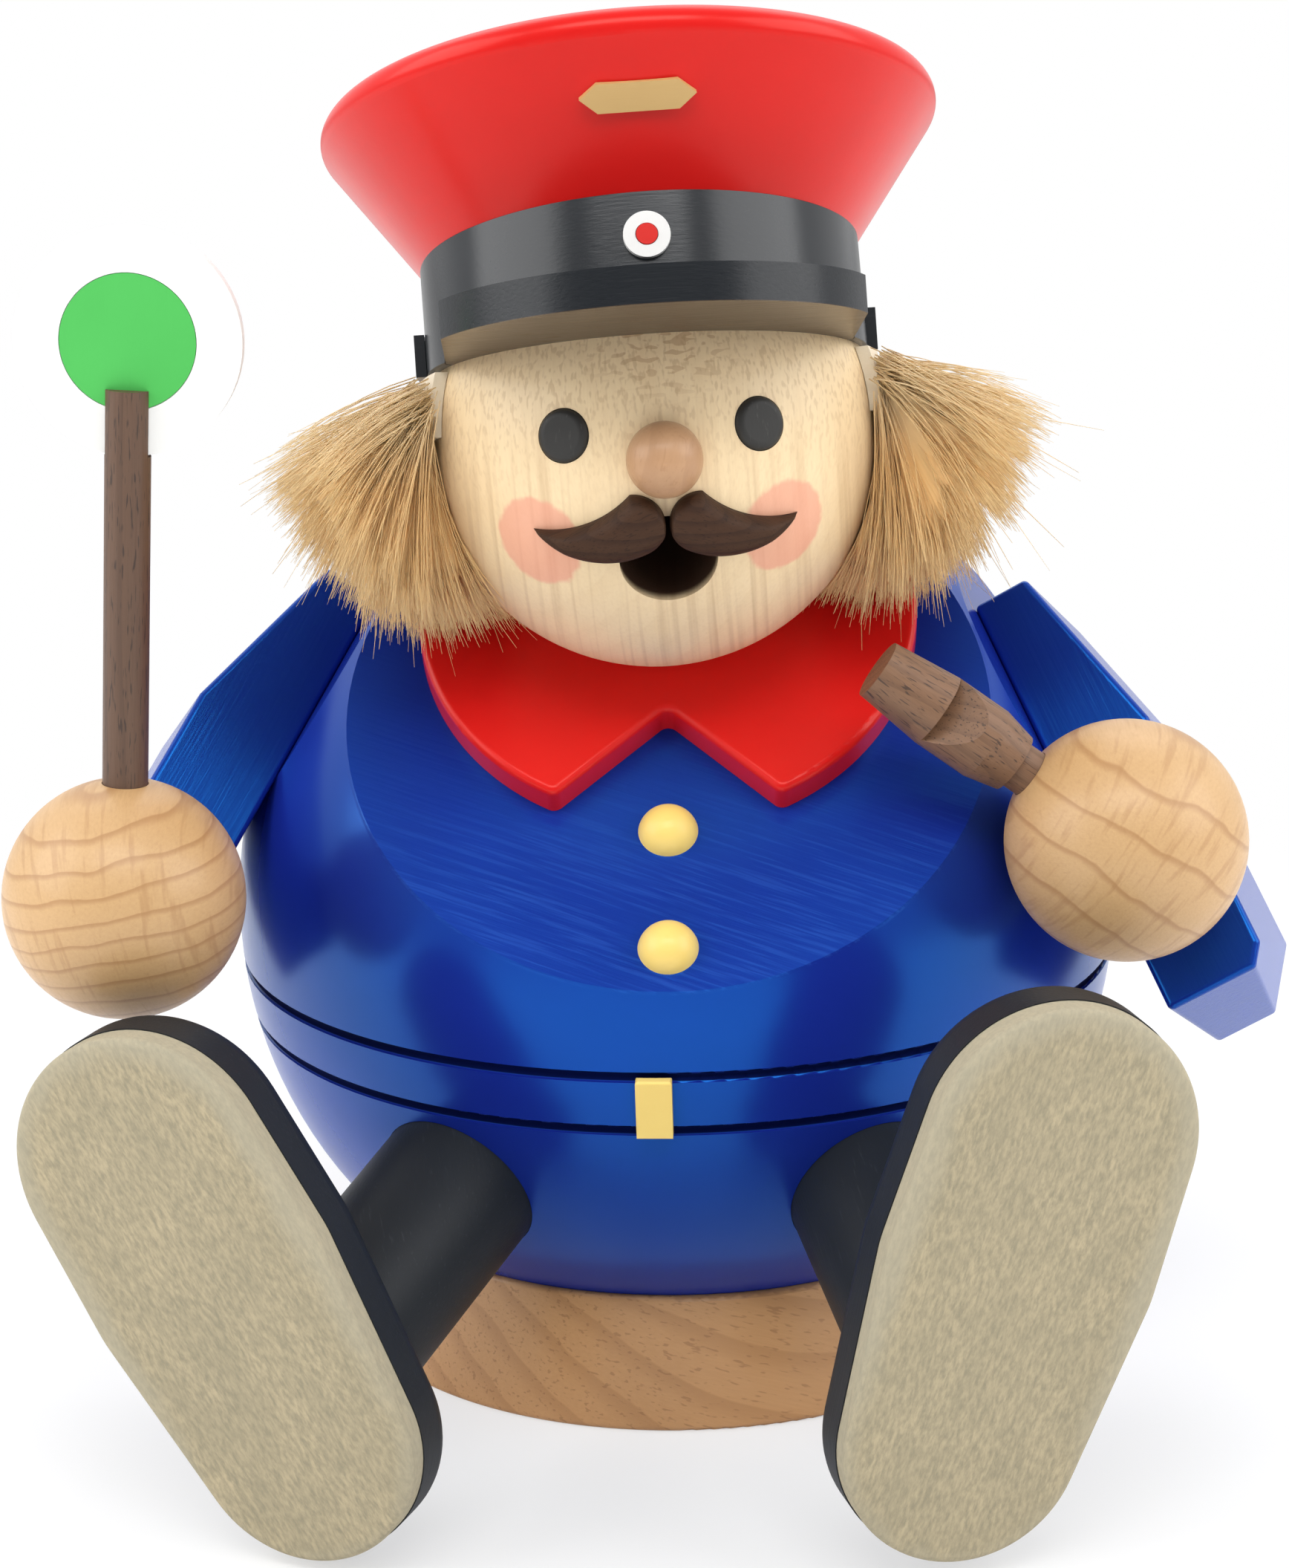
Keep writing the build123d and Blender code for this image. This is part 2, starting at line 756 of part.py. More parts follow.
with BuildPart() as cockade_centre:
    with BuildSketch(cockade_seat):
        Circle(cockade_centre_radius)
    extrude(amount=cockade_thickness + glue_gap, both=True)
    with Locations(CAP):
        Cylinder(band_radius + glue_gap, through, mode=Mode.SUBTRACT)
keep(cockade_centre, "cockade_centre")

# Badge, a plain bar with pointed ends on the crown's flare
flare = degrees(atan2(crown_corner_radius - crown_foot_radius, crown_height))
badge_seat = Plane(
    BAND_TOP.location
    * Location((0, -crown_foot_radius, 0), (quarter_turn + flare, 0, 0))
    * Location((0, badge_rise, 0))
)
with BuildPart() as cap_badge:
    with BuildSketch(badge_seat):
        with BuildLine():
            half = badge_width / 2
            Polyline(
                (half, 0),
                (half - badge_point, badge_height / 2),
                (badge_point - half, badge_height / 2),
                (-half, 0),
                (badge_point - half, -badge_height / 2),
                (half - badge_point, -badge_height / 2),
                close=True,
            )
        make_face()
    extrude(amount=badge_thickness, both=True)
    with BuildSketch(upright(BAND_TOP)):
        with BuildLine():
            Polyline(
                (0, 0),
                (crown_foot_radius + glue_gap, 0),
                (crown_corner_radius + glue_gap, crown_height),
                (0, crown_height),
                close=True,
            )
        make_face()
    revolve(axis=axis_of(BAND_TOP), mode=Mode.SUBTRACT)
keep(cap_badge, "cap_badge")

# Arms, their dowels, the hands and their dowels
for side in SIDES:
    arm_face = arm_plane(side)
    shoulder_cut = Location((shoulder_bend, 0, arm_thickness)) * Location((0, 0, 0), (0, -shoulder_slope, 0))
    elbow_turn = Location((0, 0, 0), (0, 0, side.sign * elbow_bevel_turn))
    elbow_corner = Location((*on_arm(side, elbow_bevel_start, arm_front), arm_thickness))
    elbow_cut = elbow_corner * elbow_turn * Location((0, 0, 0), (0, elbow_bevel, 0))
    with BuildPart() as arm:
        with BuildSketch(arm_face):
            with BuildLine():
                Polyline(
                    on_arm(side, arm_top, arm_front),
                    on_arm(side, arm_end, arm_front),
                    on_arm(side, arm_end, arm_back),
                    on_arm(side, arm_top, arm_back),
                    close=True,
                )
            make_face()
        extrude(amount=arm_thickness)
        for cut in (shoulder_cut, elbow_cut):
            split(bisect_by=Plane(arm_face.location * cut), keep=Keep.BOTTOM)
        fillet(arm.edges(), arm_edge)
        with Locations(arm_flat(side)):
            Cylinder(arm_dowel_radius + glue_gap, 2 * arm_dowel_out, mode=Mode.SUBTRACT)
        with Locations(wrist_plane(side)):
            Cylinder(hand_dowel_radius + glue_gap, 2 * hand_dowel_in, mode=Mode.SUBTRACT)
        with Locations(hand_middle(side)):
            Sphere(hand_radius + glue_gap, mode=Mode.SUBTRACT)
    keep(arm, f"arm_{side.name}")

    with BuildPart() as arm_dowel:
        with Locations(arm_flat(side).offset(glue_gap - arm_dowel_in)):
            Cylinder(
                arm_dowel_radius,
                arm_dowel_in + arm_dowel_out - 2 * glue_gap,
                align=(Align.CENTER, Align.CENTER, Align.MIN),
            )
    keep(arm_dowel, f"arm_dowel_{side.name}")

    with BuildPart() as hand_dowel:
        with Locations(wrist_plane(side).offset(glue_gap - hand_dowel_in)):
            Cylinder(
                hand_dowel_radius,
                hand_dowel_in + hand_dowel_out - 2 * glue_gap,
                align=(Align.CENTER, Align.CENTER, Align.MIN),
            )
    keep(hand_dowel, f"hand_dowel_{side.name}")

LEFT, RIGHT = SIDES
BATON = Plane(Location(hand_middle(RIGHT), (0, baton_tilt, 0)))
WHISTLE = Plane(Location(hand_middle(LEFT), (0, -whistle_tilt, 0)))

for side in SIDES:
    with BuildPart() as hand:
        with Locations(hand_middle(side)):
            Sphere(hand_radius)
        with Locations(wrist_plane(side)):
            Cylinder(hand_dowel_radius + glue_gap, 2 * hand_dowel_out, mode=Mode.SUBTRACT)
        if side is RIGHT:
            with Locations(BATON.offset(-baton_socket)):
                Cylinder(
                    baton_radius + glue_gap,
                    through,
                    align=(Align.CENTER, Align.CENTER, Align.MIN),
                    mode=Mode.SUBTRACT,
                )
        else:
            with Locations(WHISTLE.offset(whistle_socket)):
                Cylinder(
                    whistle_neck_radius + glue_gap,
                    through,
                    align=(Align.CENTER, Align.CENTER, Align.MIN),
                    mode=Mode.SUBTRACT,
                )
    keep(hand, f"hand_{side.name}")

# Baton with its slot, disc and green centres
slot_bottom = disc_rise - disc_radius - glue_gap
with BuildPart() as baton_stick:
    with Locations(BATON.offset(glue_gap - baton_socket)):
        Cylinder(
            baton_radius,
            baton_top + baton_socket - glue_gap,
            align=(Align.CENTER, Align.CENTER, Align.MIN),
        )
    with Locations(BATON.offset(slot_bottom)):
        Box(
            4 * baton_radius,
            disc_thickness + 2 * glue_gap,
            baton_top,
            align=(Align.CENTER, Align.CENTER, Align.MIN),
            mode=Mode.SUBTRACT,
        )
keep(baton_stick, "baton_stick")

DISC = Plane(BATON.location * Location((0, 0, disc_rise), (quarter_turn, 0, 0)))
with BuildPart() as signal_disc:
    with Locations(DISC):
        Cylinder(disc_radius, disc_thickness)
    for face_side in (-1, 1):
        with Locations(DISC.offset(face_side * disc_thickness / 2)):
            Cylinder(disc_centre_radius + glue_gap, 2 * disc_inlay, mode=Mode.SUBTRACT)
keep(signal_disc, "signal_disc")

with BuildPart() as signal_centre:
    for face_side in (-1, 1):
        with Locations(DISC.offset(face_side * (disc_thickness - disc_inlay) / 2)):
            Cylinder(disc_centre_radius, disc_inlay)
keep(signal_centre, "signal_centre")

# Whistle, turned, with a window cut near its mouth end
window_out = WHISTLE.x_dir * sin(radians(whistle_window_turn)) - WHISTLE.y_dir * cos(radians(whistle_window_turn))
WINDOW = Plane(origin=WHISTLE.origin, x_dir=WHISTLE.z_dir, z_dir=WHISTLE.z_dir.cross(window_out))
with BuildPart() as whistle:
    with BuildSketch(upright(WHISTLE)):
        with BuildLine():
            socket_end = whistle_socket + glue_gap
            Line((0, socket_end), (whistle_neck_radius, socket_end))
            Line((whistle_neck_radius, socket_end), (whistle_neck_radius, whistle_neck_end))
            Line((whistle_neck_radius, whistle_neck_end), (whistle_shoulder_radius, whistle_neck_end))
            Line((whistle_shoulder_radius, whistle_neck_end), (whistle_barrel_radius, whistle_barrel_start))
            Line((whistle_barrel_radius, whistle_barrel_start), (whistle_barrel_radius, whistle_window))
            Line((whistle_barrel_radius, whistle_window), (whistle_mouth_radius, whistle_length))
            Line((whistle_mouth_radius, whistle_length), (0, whistle_length))
            Line((0, whistle_length), (0, socket_end))
        make_face()
    revolve(axis=axis_of(WHISTLE))
    with BuildSketch(WINDOW):
        with BuildLine():
            Polyline(
                (whistle_window, 2 * whistle_barrel_radius),
                (whistle_window, whistle_barrel_radius - whistle_window_depth),
                (whistle_window - whistle_window_length, whistle_barrel_radius),
                (whistle_window - whistle_window_length, 2 * whistle_barrel_radius),
                close=True,
            )
        make_face()
    extrude(amount=2 * whistle_barrel_radius, both=True, mode=Mode.SUBTRACT)
keep(whistle, "whistle")
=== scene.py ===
"""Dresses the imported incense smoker: lacquered and bare wood, combed fur and a plain pale stage.

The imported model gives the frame. Shapes are worked out in millimetres and written in metres.
"""
import logging
from dataclasses import dataclass, replace
from enum import Enum
from functools import reduce

import bpy
import numpy as np
from mathutils import Matrix, Vector


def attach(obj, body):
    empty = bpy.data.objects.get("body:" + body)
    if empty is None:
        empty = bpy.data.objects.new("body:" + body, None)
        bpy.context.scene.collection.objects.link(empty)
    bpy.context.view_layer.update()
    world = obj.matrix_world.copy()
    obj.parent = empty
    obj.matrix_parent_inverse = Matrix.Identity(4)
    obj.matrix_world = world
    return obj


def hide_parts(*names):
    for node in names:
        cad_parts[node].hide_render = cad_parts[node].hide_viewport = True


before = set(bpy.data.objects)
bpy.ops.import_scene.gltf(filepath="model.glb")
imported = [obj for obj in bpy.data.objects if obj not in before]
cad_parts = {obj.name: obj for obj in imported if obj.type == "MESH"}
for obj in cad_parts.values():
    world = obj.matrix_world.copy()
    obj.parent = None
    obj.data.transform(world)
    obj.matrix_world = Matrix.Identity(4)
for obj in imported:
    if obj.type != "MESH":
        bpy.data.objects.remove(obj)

Pair = tuple[float, float]
Triple = tuple[float, float, float]
Colour = tuple[float, float, float]
Array = np.ndarray
Random = np.random.Generator
Material = bpy.types.Material
Piece = bpy.types.Object
Socket = bpy.types.NodeSocket
Value = Socket | float | tuple

log = logging.getLogger("smoker")
METRES = 0.001
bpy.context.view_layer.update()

ACROSS: Triple = (1.0, 0.0, 0.0)
BACK: Triple = (0.0, 1.0, 0.0)
UP: Triple = (0.0, 0.0, 1.0)
WHITE_LIGHT: Colour = (1.0, 1.0, 1.0)


class Half(Enum):
    """The two halves that part at the waist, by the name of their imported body."""

    LOWER = "lower_half"
    UPPER = "upper_half"


class Sheen(Enum):
    """How a finish shines: the roughness of its coat, and the coat's weight."""

    MATT = (0.36, 0.0)
    SATIN = (0.204, 0.15)


@dataclass(frozen=True)
class Axes:
    """A right-handed set of axes with an origin, in millimetres."""

    origin: Triple
    x: Triple
    y: Triple
    z: Triple

    @staticmethod
    def turned(origin: Triple, lean: float, roll: float, yaw: float) -> "Axes":
        """Axes turned by degrees: a lean about X, a roll about their own Y and a yaw about their own Z."""
        spin = (
            Matrix.Rotation(np.radians(lean), 3, "X")
            @ Matrix.Rotation(np.radians(roll), 3, "Y")
            @ Matrix.Rotation(np.radians(yaw), 3, "Z")
        )
        return Axes(origin, tuple(spin.col[0]), tuple(spin.col[1]), tuple(spin.col[2]))

    def out(self, points: Array) -> Array:
        """Points of these axes as points of the frame."""
        return np.asarray(self.origin) + points @ np.array([self.x, self.y, self.z])

    def into(self, points: Array) -> Array:
        """Points of the frame as points of these axes."""
        return (points - np.asarray(self.origin)) @ np.array([self.x, self.y, self.z]).T

    def along(self, step: Triple) -> Triple:
        """A step of these axes as a step of the frame."""
        return tuple(np.asarray(step) @ np.array([self.x, self.y, self.z]))


BALL_MIDDLE: Triple = (0.0, 0.0, 37.0)
BALL_RADIUS = 37.5
HEAD_RADIUS = 17.7
HEAD = Axes.turned((-0.7, -17.225, 79.107), -16.4, -3.0, 3.2)
CHEST = Axes.turned((0.0, -18.056, 57.409), 41.5, 0.0, 0.0)
BRIM = Axes(tuple(HEAD.out(np.array([-0.15, -1.2, 5.96]))), HEAD.x, HEAD.y, HEAD.z)


def face_step(turn: float, rise: float) -> Triple:
    """The unit step from the head's middle to a place on the face, by degrees to its left and upward."""
    a, b = np.radians(turn), np.radians(rise)
    return HEAD.along((np.cos(b) * np.sin(a), -np.cos(b) * np.cos(a), np.sin(b)))


class Nodes:
    """A node tree while it is put together; lengths in it are millimetres.

    Args:
        owner: The material or world that holds the tree.
    """

    def __init__(self, owner: bpy.types.ID) -> None:
        owner.use_nodes = True
        self.tree = owner.node_tree
        self.tree.nodes.clear()

    def feed(self, socket: Socket, value: Value) -> None:
        """Links a socket, or sets a constant on it."""
        if isinstance(value, Socket):
            self.tree.links.new(value, socket)
        elif isinstance(value, tuple) and len(value) == 3 and len(socket.default_value) == 4:
            socket.default_value = (*value, 1.0)
        else:
            socket.default_value = value

    def fill(self, node: bpy.types.Node, **values: Value) -> bpy.types.Node:
        """Feeds a node's inputs; an underscore in a name stands for a space."""
        for name, value in values.items():
            self.feed(node.inputs[name.replace("_", " ")], value)
        return node

    def add(self, kind: str, **values: Value) -> bpy.types.Node:
        """A new shader node of a kind, with some of its inputs fed."""
        return self.fill(self.tree.nodes.new(f"ShaderNode{kind}"), **values)

    def place(self, middle: Triple = (0.0, 0.0, 0.0), fibre: Triple = UP) -> Socket:
        """Object coordinates in millimetres about a point, turned so that the fibre runs along Z.

        Args:
            middle: The point that becomes the origin.
            fibre: The direction that becomes Z.

        Returns:
            The vector socket.
        """
        spin = Vector(fibre).rotation_difference(Vector(UP))
        return self.add(
            "Mapping",
            Vector=self.add("TexCoord").outputs["Object"],
            Scale=(1.0 / METRES,) * 3,
            Rotation=tuple(spin.to_euler("XYZ")),
            Location=tuple(-(spin @ Vector(middle))),
        ).outputs[0]

    def vector(self, operation: str, a: Socket, b: Socket | tuple | None = None) -> Socket:
        """A vector sum, product, distance or length."""
        node = self.add("VectorMath")
        node.operation = operation
        self.feed(node.inputs[0], a)
        if b is not None:
            self.feed(node.inputs[1], b)
        return node.outputs[1] if operation in ("LENGTH", "DISTANCE", "DOT_PRODUCT") else node.outputs[0]

    def along(self, at: Socket, step: Triple = UP) -> Socket:
        """How far a place lies along a unit step."""
        return self.vector("DOT_PRODUCT", at, step)

    def across(self, at: Socket, keep: Triple = (1.0, 1.0, 0.0)) -> Socket:
        """How far a place lies from an axis; keep is 0 along that axis and 1 across it."""
        return self.vector("LENGTH", self.vector("MULTIPLY", at, keep))

    def sum(self, operation: str, a: Socket | float, b: Socket | float = 0.0) -> Socket:
        """A sum on two numbers."""
        node = self.add("Math")
        node.operation = operation
        self.feed(node.inputs[0], a)
        self.feed(node.inputs[1], b)
        return node.outputs[0]

    def fold(self, operation: str, *values: Socket) -> Socket:
        """One operation over several numbers, from the first to the last."""
        return reduce(lambda a, b: self.sum(operation, a, b), values)

    def noise(self, at: Socket, pitch: Triple, detail: float = 2.0, rough: float = 0.5) -> Socket:
        """Cloudy noise from 0 to 1 whose blotches measure pitch in millimetres along each axis."""
        scaled = self.vector("MULTIPLY", at, tuple(1.0 / p for p in pitch))
        return self.add("TexNoise", Vector=scaled, Scale=1.0, Detail=detail, Roughness=rough).outputs[0]

    def step(self, value: Socket, low: float, high: float) -> Socket:
        """A smooth step from 0 at low to 1 at high; high may be the smaller of the two."""
        node = self.add("MapRange", Value=value, From_Min=low, From_Max=high)
        node.interpolation_type = "SMOOTHSTEP"
        return node.outputs[0]

    def level(self, value: Socket, low: float, high: float) -> Socket:
        """A number from 0 to 1 spread linearly from low to high."""
        return self.add("MapRange", Value=value, To_Min=low, To_Max=high).outputs[0]

    def mix(self, share: Socket | float, a: Socket | Colour, b: Socket | Colour) -> Socket:
        """The colour a with a share of the colour b."""
        node = self.add("Mix")
        node.data_type = "RGBA"
        self.feed(node.inputs[0], share)
        self.feed(node.inputs[6], a)
        self.feed(node.inputs[7], b)
        return node.outputs[2]

    def blend(self, share: Socket | float, a: Socket, b: Socket) -> Socket:
        """The shader a with a share of the shader b."""
        node = self.add("MixShader")
        for socket, value in zip(node.inputs, (share, a, b)):
            self.feed(socket, value)
        return node.outputs[0]

    def camera_ray(self) -> Socket:
        """1 where the camera itself looks, 0 for light on its way."""
        return self.add("LightPath").outputs["Is Camera Ray"]


class Recipe(Nodes):
    """A surface material while it is put together.

    Args:
        name: The material's name.
    """

    def __init__(self, name: str) -> None:
        self.material = bpy.data.materials.new(name)
        super().__init__(self.material)
        self.shader = self.add("BsdfPrincipled")
        self.output = self.add("OutputMaterial", Surface=self.shader.outputs[0])

    def set(self, **values: Value) -> None:
        """Feeds the shader's inputs; an underscore in a name stands for a space."""
        self.fill(self.shader, **values)

    def bump(self, height: Socket, depth: float, strength: float, under: Socket | None = None) -> Socket:
        """A normal from a height of 0 to 1 that stands for a depth in millimetres."""
        node = self.add("Bump", Strength=strength, Distance=depth * METRES, Height=height)
        if under is not None:
            self.feed(node.inputs["Normal"], under)
        return node.outputs[0]

    def attribute(self, name: str) -> Socket:
        """A number that the piece's own mesh carries."""
        node = self.add("Attribute")
        node.attribute_name = name
        return node.outputs["Fac"]

    def let_through(self, tone: Socket, share: float) -> None:
        """Lets a share of the light through the surface, in the given colour."""
        through = self.add("BsdfTranslucent", Color=tone).outputs[0]
        self.fill(self.output, Surface=self.blend(share, self.shader.outputs[0], through))

    def shine(self, sheen: Sheen) -> None:
        """Sets the coat's constants from a sheen."""
        rough, weight = sheen.value
        self.set(Coat_Weight=weight, Coat_Roughness=rough)


@dataclass(frozen=True)
class Grain:
    """How a piece lies in the plank it was cut from.

    The pith is the tree's own middle line, so rings are shells about it.
    """

    pith: Triple
    fibre: Triple


@dataclass(frozen=True)
class WoodFinish:
    """Bare or clear-coated wood with year rings, fibre streaks, short flecks and rays."""

    pale: Colour
    late: Colour
    fleck: Colour
    ring_pitch: float = 1.8
    ring_share: float = 0.5
    ring_wave: float = 1.2
    slow_pitch: Triple = (9.0, 9.0, 40.0)
    quick_pitch: Triple = (2.4, 2.4, 16.0)
    quick_share: float = 0.4
    late_start: float = 0.45
    late_end: float = 0.95
    streak_pitch: Triple = (0.22, 0.22, 7.0)
    streak_shares: Pair = (-0.12, 0.32)
    cloud_pitch: Triple = (14.0, 14.0, 22.0)
    cloud_shares: Pair = (-0.10, 0.28)
    fleck_share: float = 0.35
    fleck_pitch: Triple = (0.28, 0.28, 1.3)
    fleck_edges: Pair = (0.60, 0.70)
    ray_share: float = 0.0
    ray_pitch: Triple = (0.55, 4.5, 9.0)
    ray_edges: Pair = (0.52, 0.70)
    ray_radius: float = 60.0
    pore: float = 0.03
    relief: float = 0.6
    roughness: float = 0.42
    roughness_spread: Pair = (-0.06, 0.10)
    specular: float = 0.5
    sheen: Sheen = Sheen.SATIN

    def rays(self, mix: Recipe, at: Socket, reach: Socket) -> Socket:
        """Thin broken lines that run straight out from the pith.

        They are noise on the arc round the pith and the distance from it, stretched along the
        distance.
        """
        split = mix.add("SeparateXYZ", Vector=at).outputs
        arc = mix.sum("MULTIPLY", mix.sum("ARCTAN2", split["Y"], split["X"]), self.ray_radius)
        laid = mix.add("CombineXYZ", X=arc, Y=reach, Z=split["Z"]).outputs[0]
        return mix.step(mix.noise(laid, self.ray_pitch), *self.ray_edges)

    def colours(self, mix: Recipe, grain: Grain) -> tuple[Socket, Socket]:
        """The wood's colour and its fibre streaks.

        The ring count is the distance from the pith, warped by slow and quick noise, over the pitch.
        Its fraction rises late in the year's growth and falls at once after the late wood.

        Args:
            mix: The material being made.
            grain: The piece's place in its plank.

        Returns:
            The colour socket and the streak socket.
        """
        at = mix.place(grain.pith, grain.fibre)
        reach = mix.across(at)
        slow = mix.level(mix.noise(at, self.slow_pitch), -self.ring_wave, self.ring_wave)
        quick = mix.level(mix.noise(at, self.quick_pitch), 0.0, self.quick_share * self.ring_wave)
        warped = mix.fold("ADD", reach, slow, quick)
        part = mix.sum("FRACT", mix.sum("DIVIDE", warped, self.ring_pitch))
        grown = mix.step(part, self.late_start, self.late_end)
        late = mix.sum("MULTIPLY", grown, mix.step(part, 1.0, self.late_end))
        streak = mix.noise(at, self.streak_pitch, detail=3.0, rough=0.6)
        flecks = mix.step(mix.noise(at, self.fleck_pitch, detail=1.0), *self.fleck_edges)
        cloud = mix.noise(at, self.cloud_pitch)
        tone = mix.mix(mix.level(late, 0.0, self.ring_share), self.pale, self.late)
        tone = mix.mix(mix.level(streak, *self.streak_shares), tone, self.late)
        tone = mix.mix(mix.level(cloud, *self.cloud_shares), tone, self.late)
        tone = mix.mix(mix.level(flecks, 0.0, self.fleck_share), tone, self.fleck)
        tone = mix.mix(mix.level(self.rays(mix, at, reach), 0.0, self.ray_share), tone, self.late)
        return tone, streak

    def finish(self, mix: Recipe, tone: Socket, streak: Socket) -> Material:
        """Sets colour, gloss and pores, and gives the material."""
        low, high = self.roughness_spread
        mix.set(
            Base_Color=tone,
            Roughness=mix.level(streak, self.roughness + low, self.roughness + high),
            Specular_IOR_Level=self.specular,
            Normal=mix.bump(streak, self.pore, self.relief),
        )
        mix.shine(self.sheen)
        return mix.material

    def material(self, name: str, grain: Grain) -> Material:
        """The finished wood for one piece."""
        mix = Recipe(name)
        return self.finish(mix, *self.colours(mix, grain))


@dataclass(frozen=True)
class LacquerFinish:
    """Coloured lacquer over wood: slight cloudiness, and the wood's fibres felt through it."""

    colour: Colour
    shade: Colour
    roughness: float = 0.30
    sheen: Sheen = Sheen.SATIN
    fibre_pitch: Triple = (0.35, 0.35, 9.0)
    ripple: float = 0.012
    ripple_relief: float = 0.7
    peel: float = 0.004
    peel_relief: float = 0.5
    peel_pitch: Triple = (0.55, 0.55, 0.55)
    cloud_pitch: Triple = (7.0, 7.0, 12.0)
    cloud_shares: Pair = (-0.15, 0.65)
    worn: Colour = (0.30, 0.30, 0.32)
    worn_share: float = 0.0
    worn_edges: Pair = (0.60, 0.74)
    specular: float = 0.4
    tint: Colour = WHITE_LIGHT
    bending: float = 1.5

    def colours(self, mix: Recipe, fibre: Triple) -> tuple[Socket, Socket]:
        """The lacquer's colour, and the wood's fibres under it, which run along the fibre."""
        at = mix.place(fibre=fibre)
        fibres = mix.noise(at, self.fibre_pitch, detail=3.0, rough=0.6)
        cloud = mix.noise(at, self.cloud_pitch, detail=3.0)
        tone = mix.mix(mix.level(cloud, *self.cloud_shares), self.colour, self.shade)
        scuffs = mix.step(fibres, *self.worn_edges)
        return mix.mix(mix.level(scuffs, 0.0, self.worn_share), tone, self.worn), fibres

    def finish(self, mix: Recipe, tone: Socket, fibres: Socket) -> Material:
        """Sets colour, gloss and the felt fibres, and gives the material."""
        felt = mix.bump(fibres, self.ripple, self.ripple_relief)
        peel = mix.noise(mix.place(), self.peel_pitch, detail=1.0)
        mix.set(
            Base_Color=tone,
            Roughness=self.roughness,
            IOR=self.bending,
            Specular_IOR_Level=self.specular,
            Specular_Tint=self.tint,
            Normal=mix.bump(peel, self.peel, self.peel_relief, felt),
        )
        mix.shine(self.sheen)
        return mix.material

    def material(self, name: str, fibre: Triple = UP) -> Material:
        """The finished lacquer for one piece."""
        mix = Recipe(name)
        return self.finish(mix, *self.colours(mix, fibre))


@dataclass(frozen=True)
class BoardFinish:
    """Pressed fibre board: short matted fibres over faint wide clouds."""

    pale: Colour
    dark: Colour
    # edge is a paler colour, painted as the highlight of a bevel round the sole
    edge: Colour
    heel: float = -12.5
    toe: float = 11.3
    half_width: float = 10.1
    edge_width: float = 2.4
    edge_wander: float = 1.0
    bevel_highlight_share: float = 0.55
    fibre_pitch: Triple = (0.30, 0.30, 0.90)
    fibre_edges: Pair = (0.26, 0.76)
    cloud_pitch: Triple = (2.8, 2.8, 5.0)
    cloud_shares: Pair = (-0.25, 0.65)
    nap: float = 0.06
    relief: float = 0.7
    roughness: float = 0.8
    specular: float = 0.2

    def material(self, name: str, middle: Triple, fibre: Triple) -> Material:
        """The board for one sole, with most fibres along its length and a paler band round its edge,
        painted as the highlight of a bevel.

        The edge is where the distance from the line between the heel's and the toe's middles comes
        near the sole's half width.

        Args:
            name: The material's name.
            middle: The sole's middle.
            fibre: The direction from heel to toe.

        Returns:
            The material.
        """
        mix = Recipe(name)
        at = mix.place(middle, fibre)
        fibres = mix.noise(at, self.fibre_pitch, detail=3.0, rough=0.66)
        cloud = mix.noise(at, self.cloud_pitch, detail=3.0)
        tone = mix.mix(mix.step(fibres, *self.fibre_edges), self.pale, self.dark)
        tone = mix.mix(mix.level(cloud, *self.cloud_shares), tone, self.dark)
        along = mix.along(at)
        nearest = mix.sum("MINIMUM", mix.sum("MAXIMUM", along, self.heel), self.toe)
        sides = (mix.sum("SUBTRACT", along, nearest), mix.across(at))
        away = mix.sum("SQRT", mix.fold("ADD", *(mix.sum("POWER", side, 2.0) for side in sides)))
        away = mix.sum("ADD", away, mix.level(cloud, -self.edge_wander, self.edge_wander))
        # painted highlight: a paler band round the rim, where a bevel would catch the light
        painted_bevel_highlight = mix.step(away, self.half_width - self.edge_width, self.half_width)
        mix.set(
            Base_Color=mix.mix(mix.level(painted_bevel_highlight, 0.0, self.bevel_highlight_share), tone, self.edge),
            Roughness=self.roughness,
            Specular_IOR_Level=self.specular,
            Normal=mix.bump(fibres, self.nap, self.relief),
        )
        return mix.material


@dataclass(frozen=True)
class FurFinish:
    """Blond fur that fades from the skin to the tips, with a painted highlight that makes the top of the
    fringe palest.
    """

    root: Colour = (0.96, 0.60, 0.24)
    body: Colour = (0.99, 0.67, 0.29)
    tip: Colour = (0.99, 0.72, 0.35)
    root_span: Pair = (0.0, 0.40)
    tip_span: Pair = (0.45, 1.0)
    dark: Colour = (0.90, 0.52, 0.19)
    dark_share: float = 0.35
    # a paler colour painted as highlight on the top of the fringe, where light falls
    painted_top_light: Colour = (1.0, 0.84, 0.54)
    painted_top_light_share: float = 0.80
    painted_top_light_heights: Pair = (-5.0, 3.0)
    fuzz: Colour = (1.0, 0.80, 0.50)
    fuzz_share: float = 0.45
    fuzz_roughness: float = 0.4
    roughness: float = 0.5
    through: float = 0.06

    def material(self, name: str) -> Material:
        """The fur's material, which reads the strands' own tip and tone numbers."""
        mix = Recipe(name)
        path = mix.attribute("tip")
        tone = mix.mix(mix.step(path, *self.root_span), self.root, self.body)
        tone = mix.mix(mix.step(path, *self.tip_span), tone, self.tip)
        tone = mix.mix(mix.level(mix.attribute("tone"), 0.0, self.dark_share), tone, self.dark)
        # painted highlight: the strands turn paler toward the top of the fringe
        painted_top_light = mix.step(mix.along(mix.place(HEAD.origin, HEAD.z)), *self.painted_top_light_heights)
        tone = mix.mix(mix.level(painted_top_light, 0.0, self.painted_top_light_share), tone, self.painted_top_light)
        mix.set(Base_Color=tone, Roughness=self.roughness)
        mix.set(Sheen_Weight=self.fuzz_share, Sheen_Roughness=self.fuzz_roughness, Sheen_Tint=self.fuzz)
        if self.through > 0.0:
            mix.let_through(tone, self.through)
        return mix.material


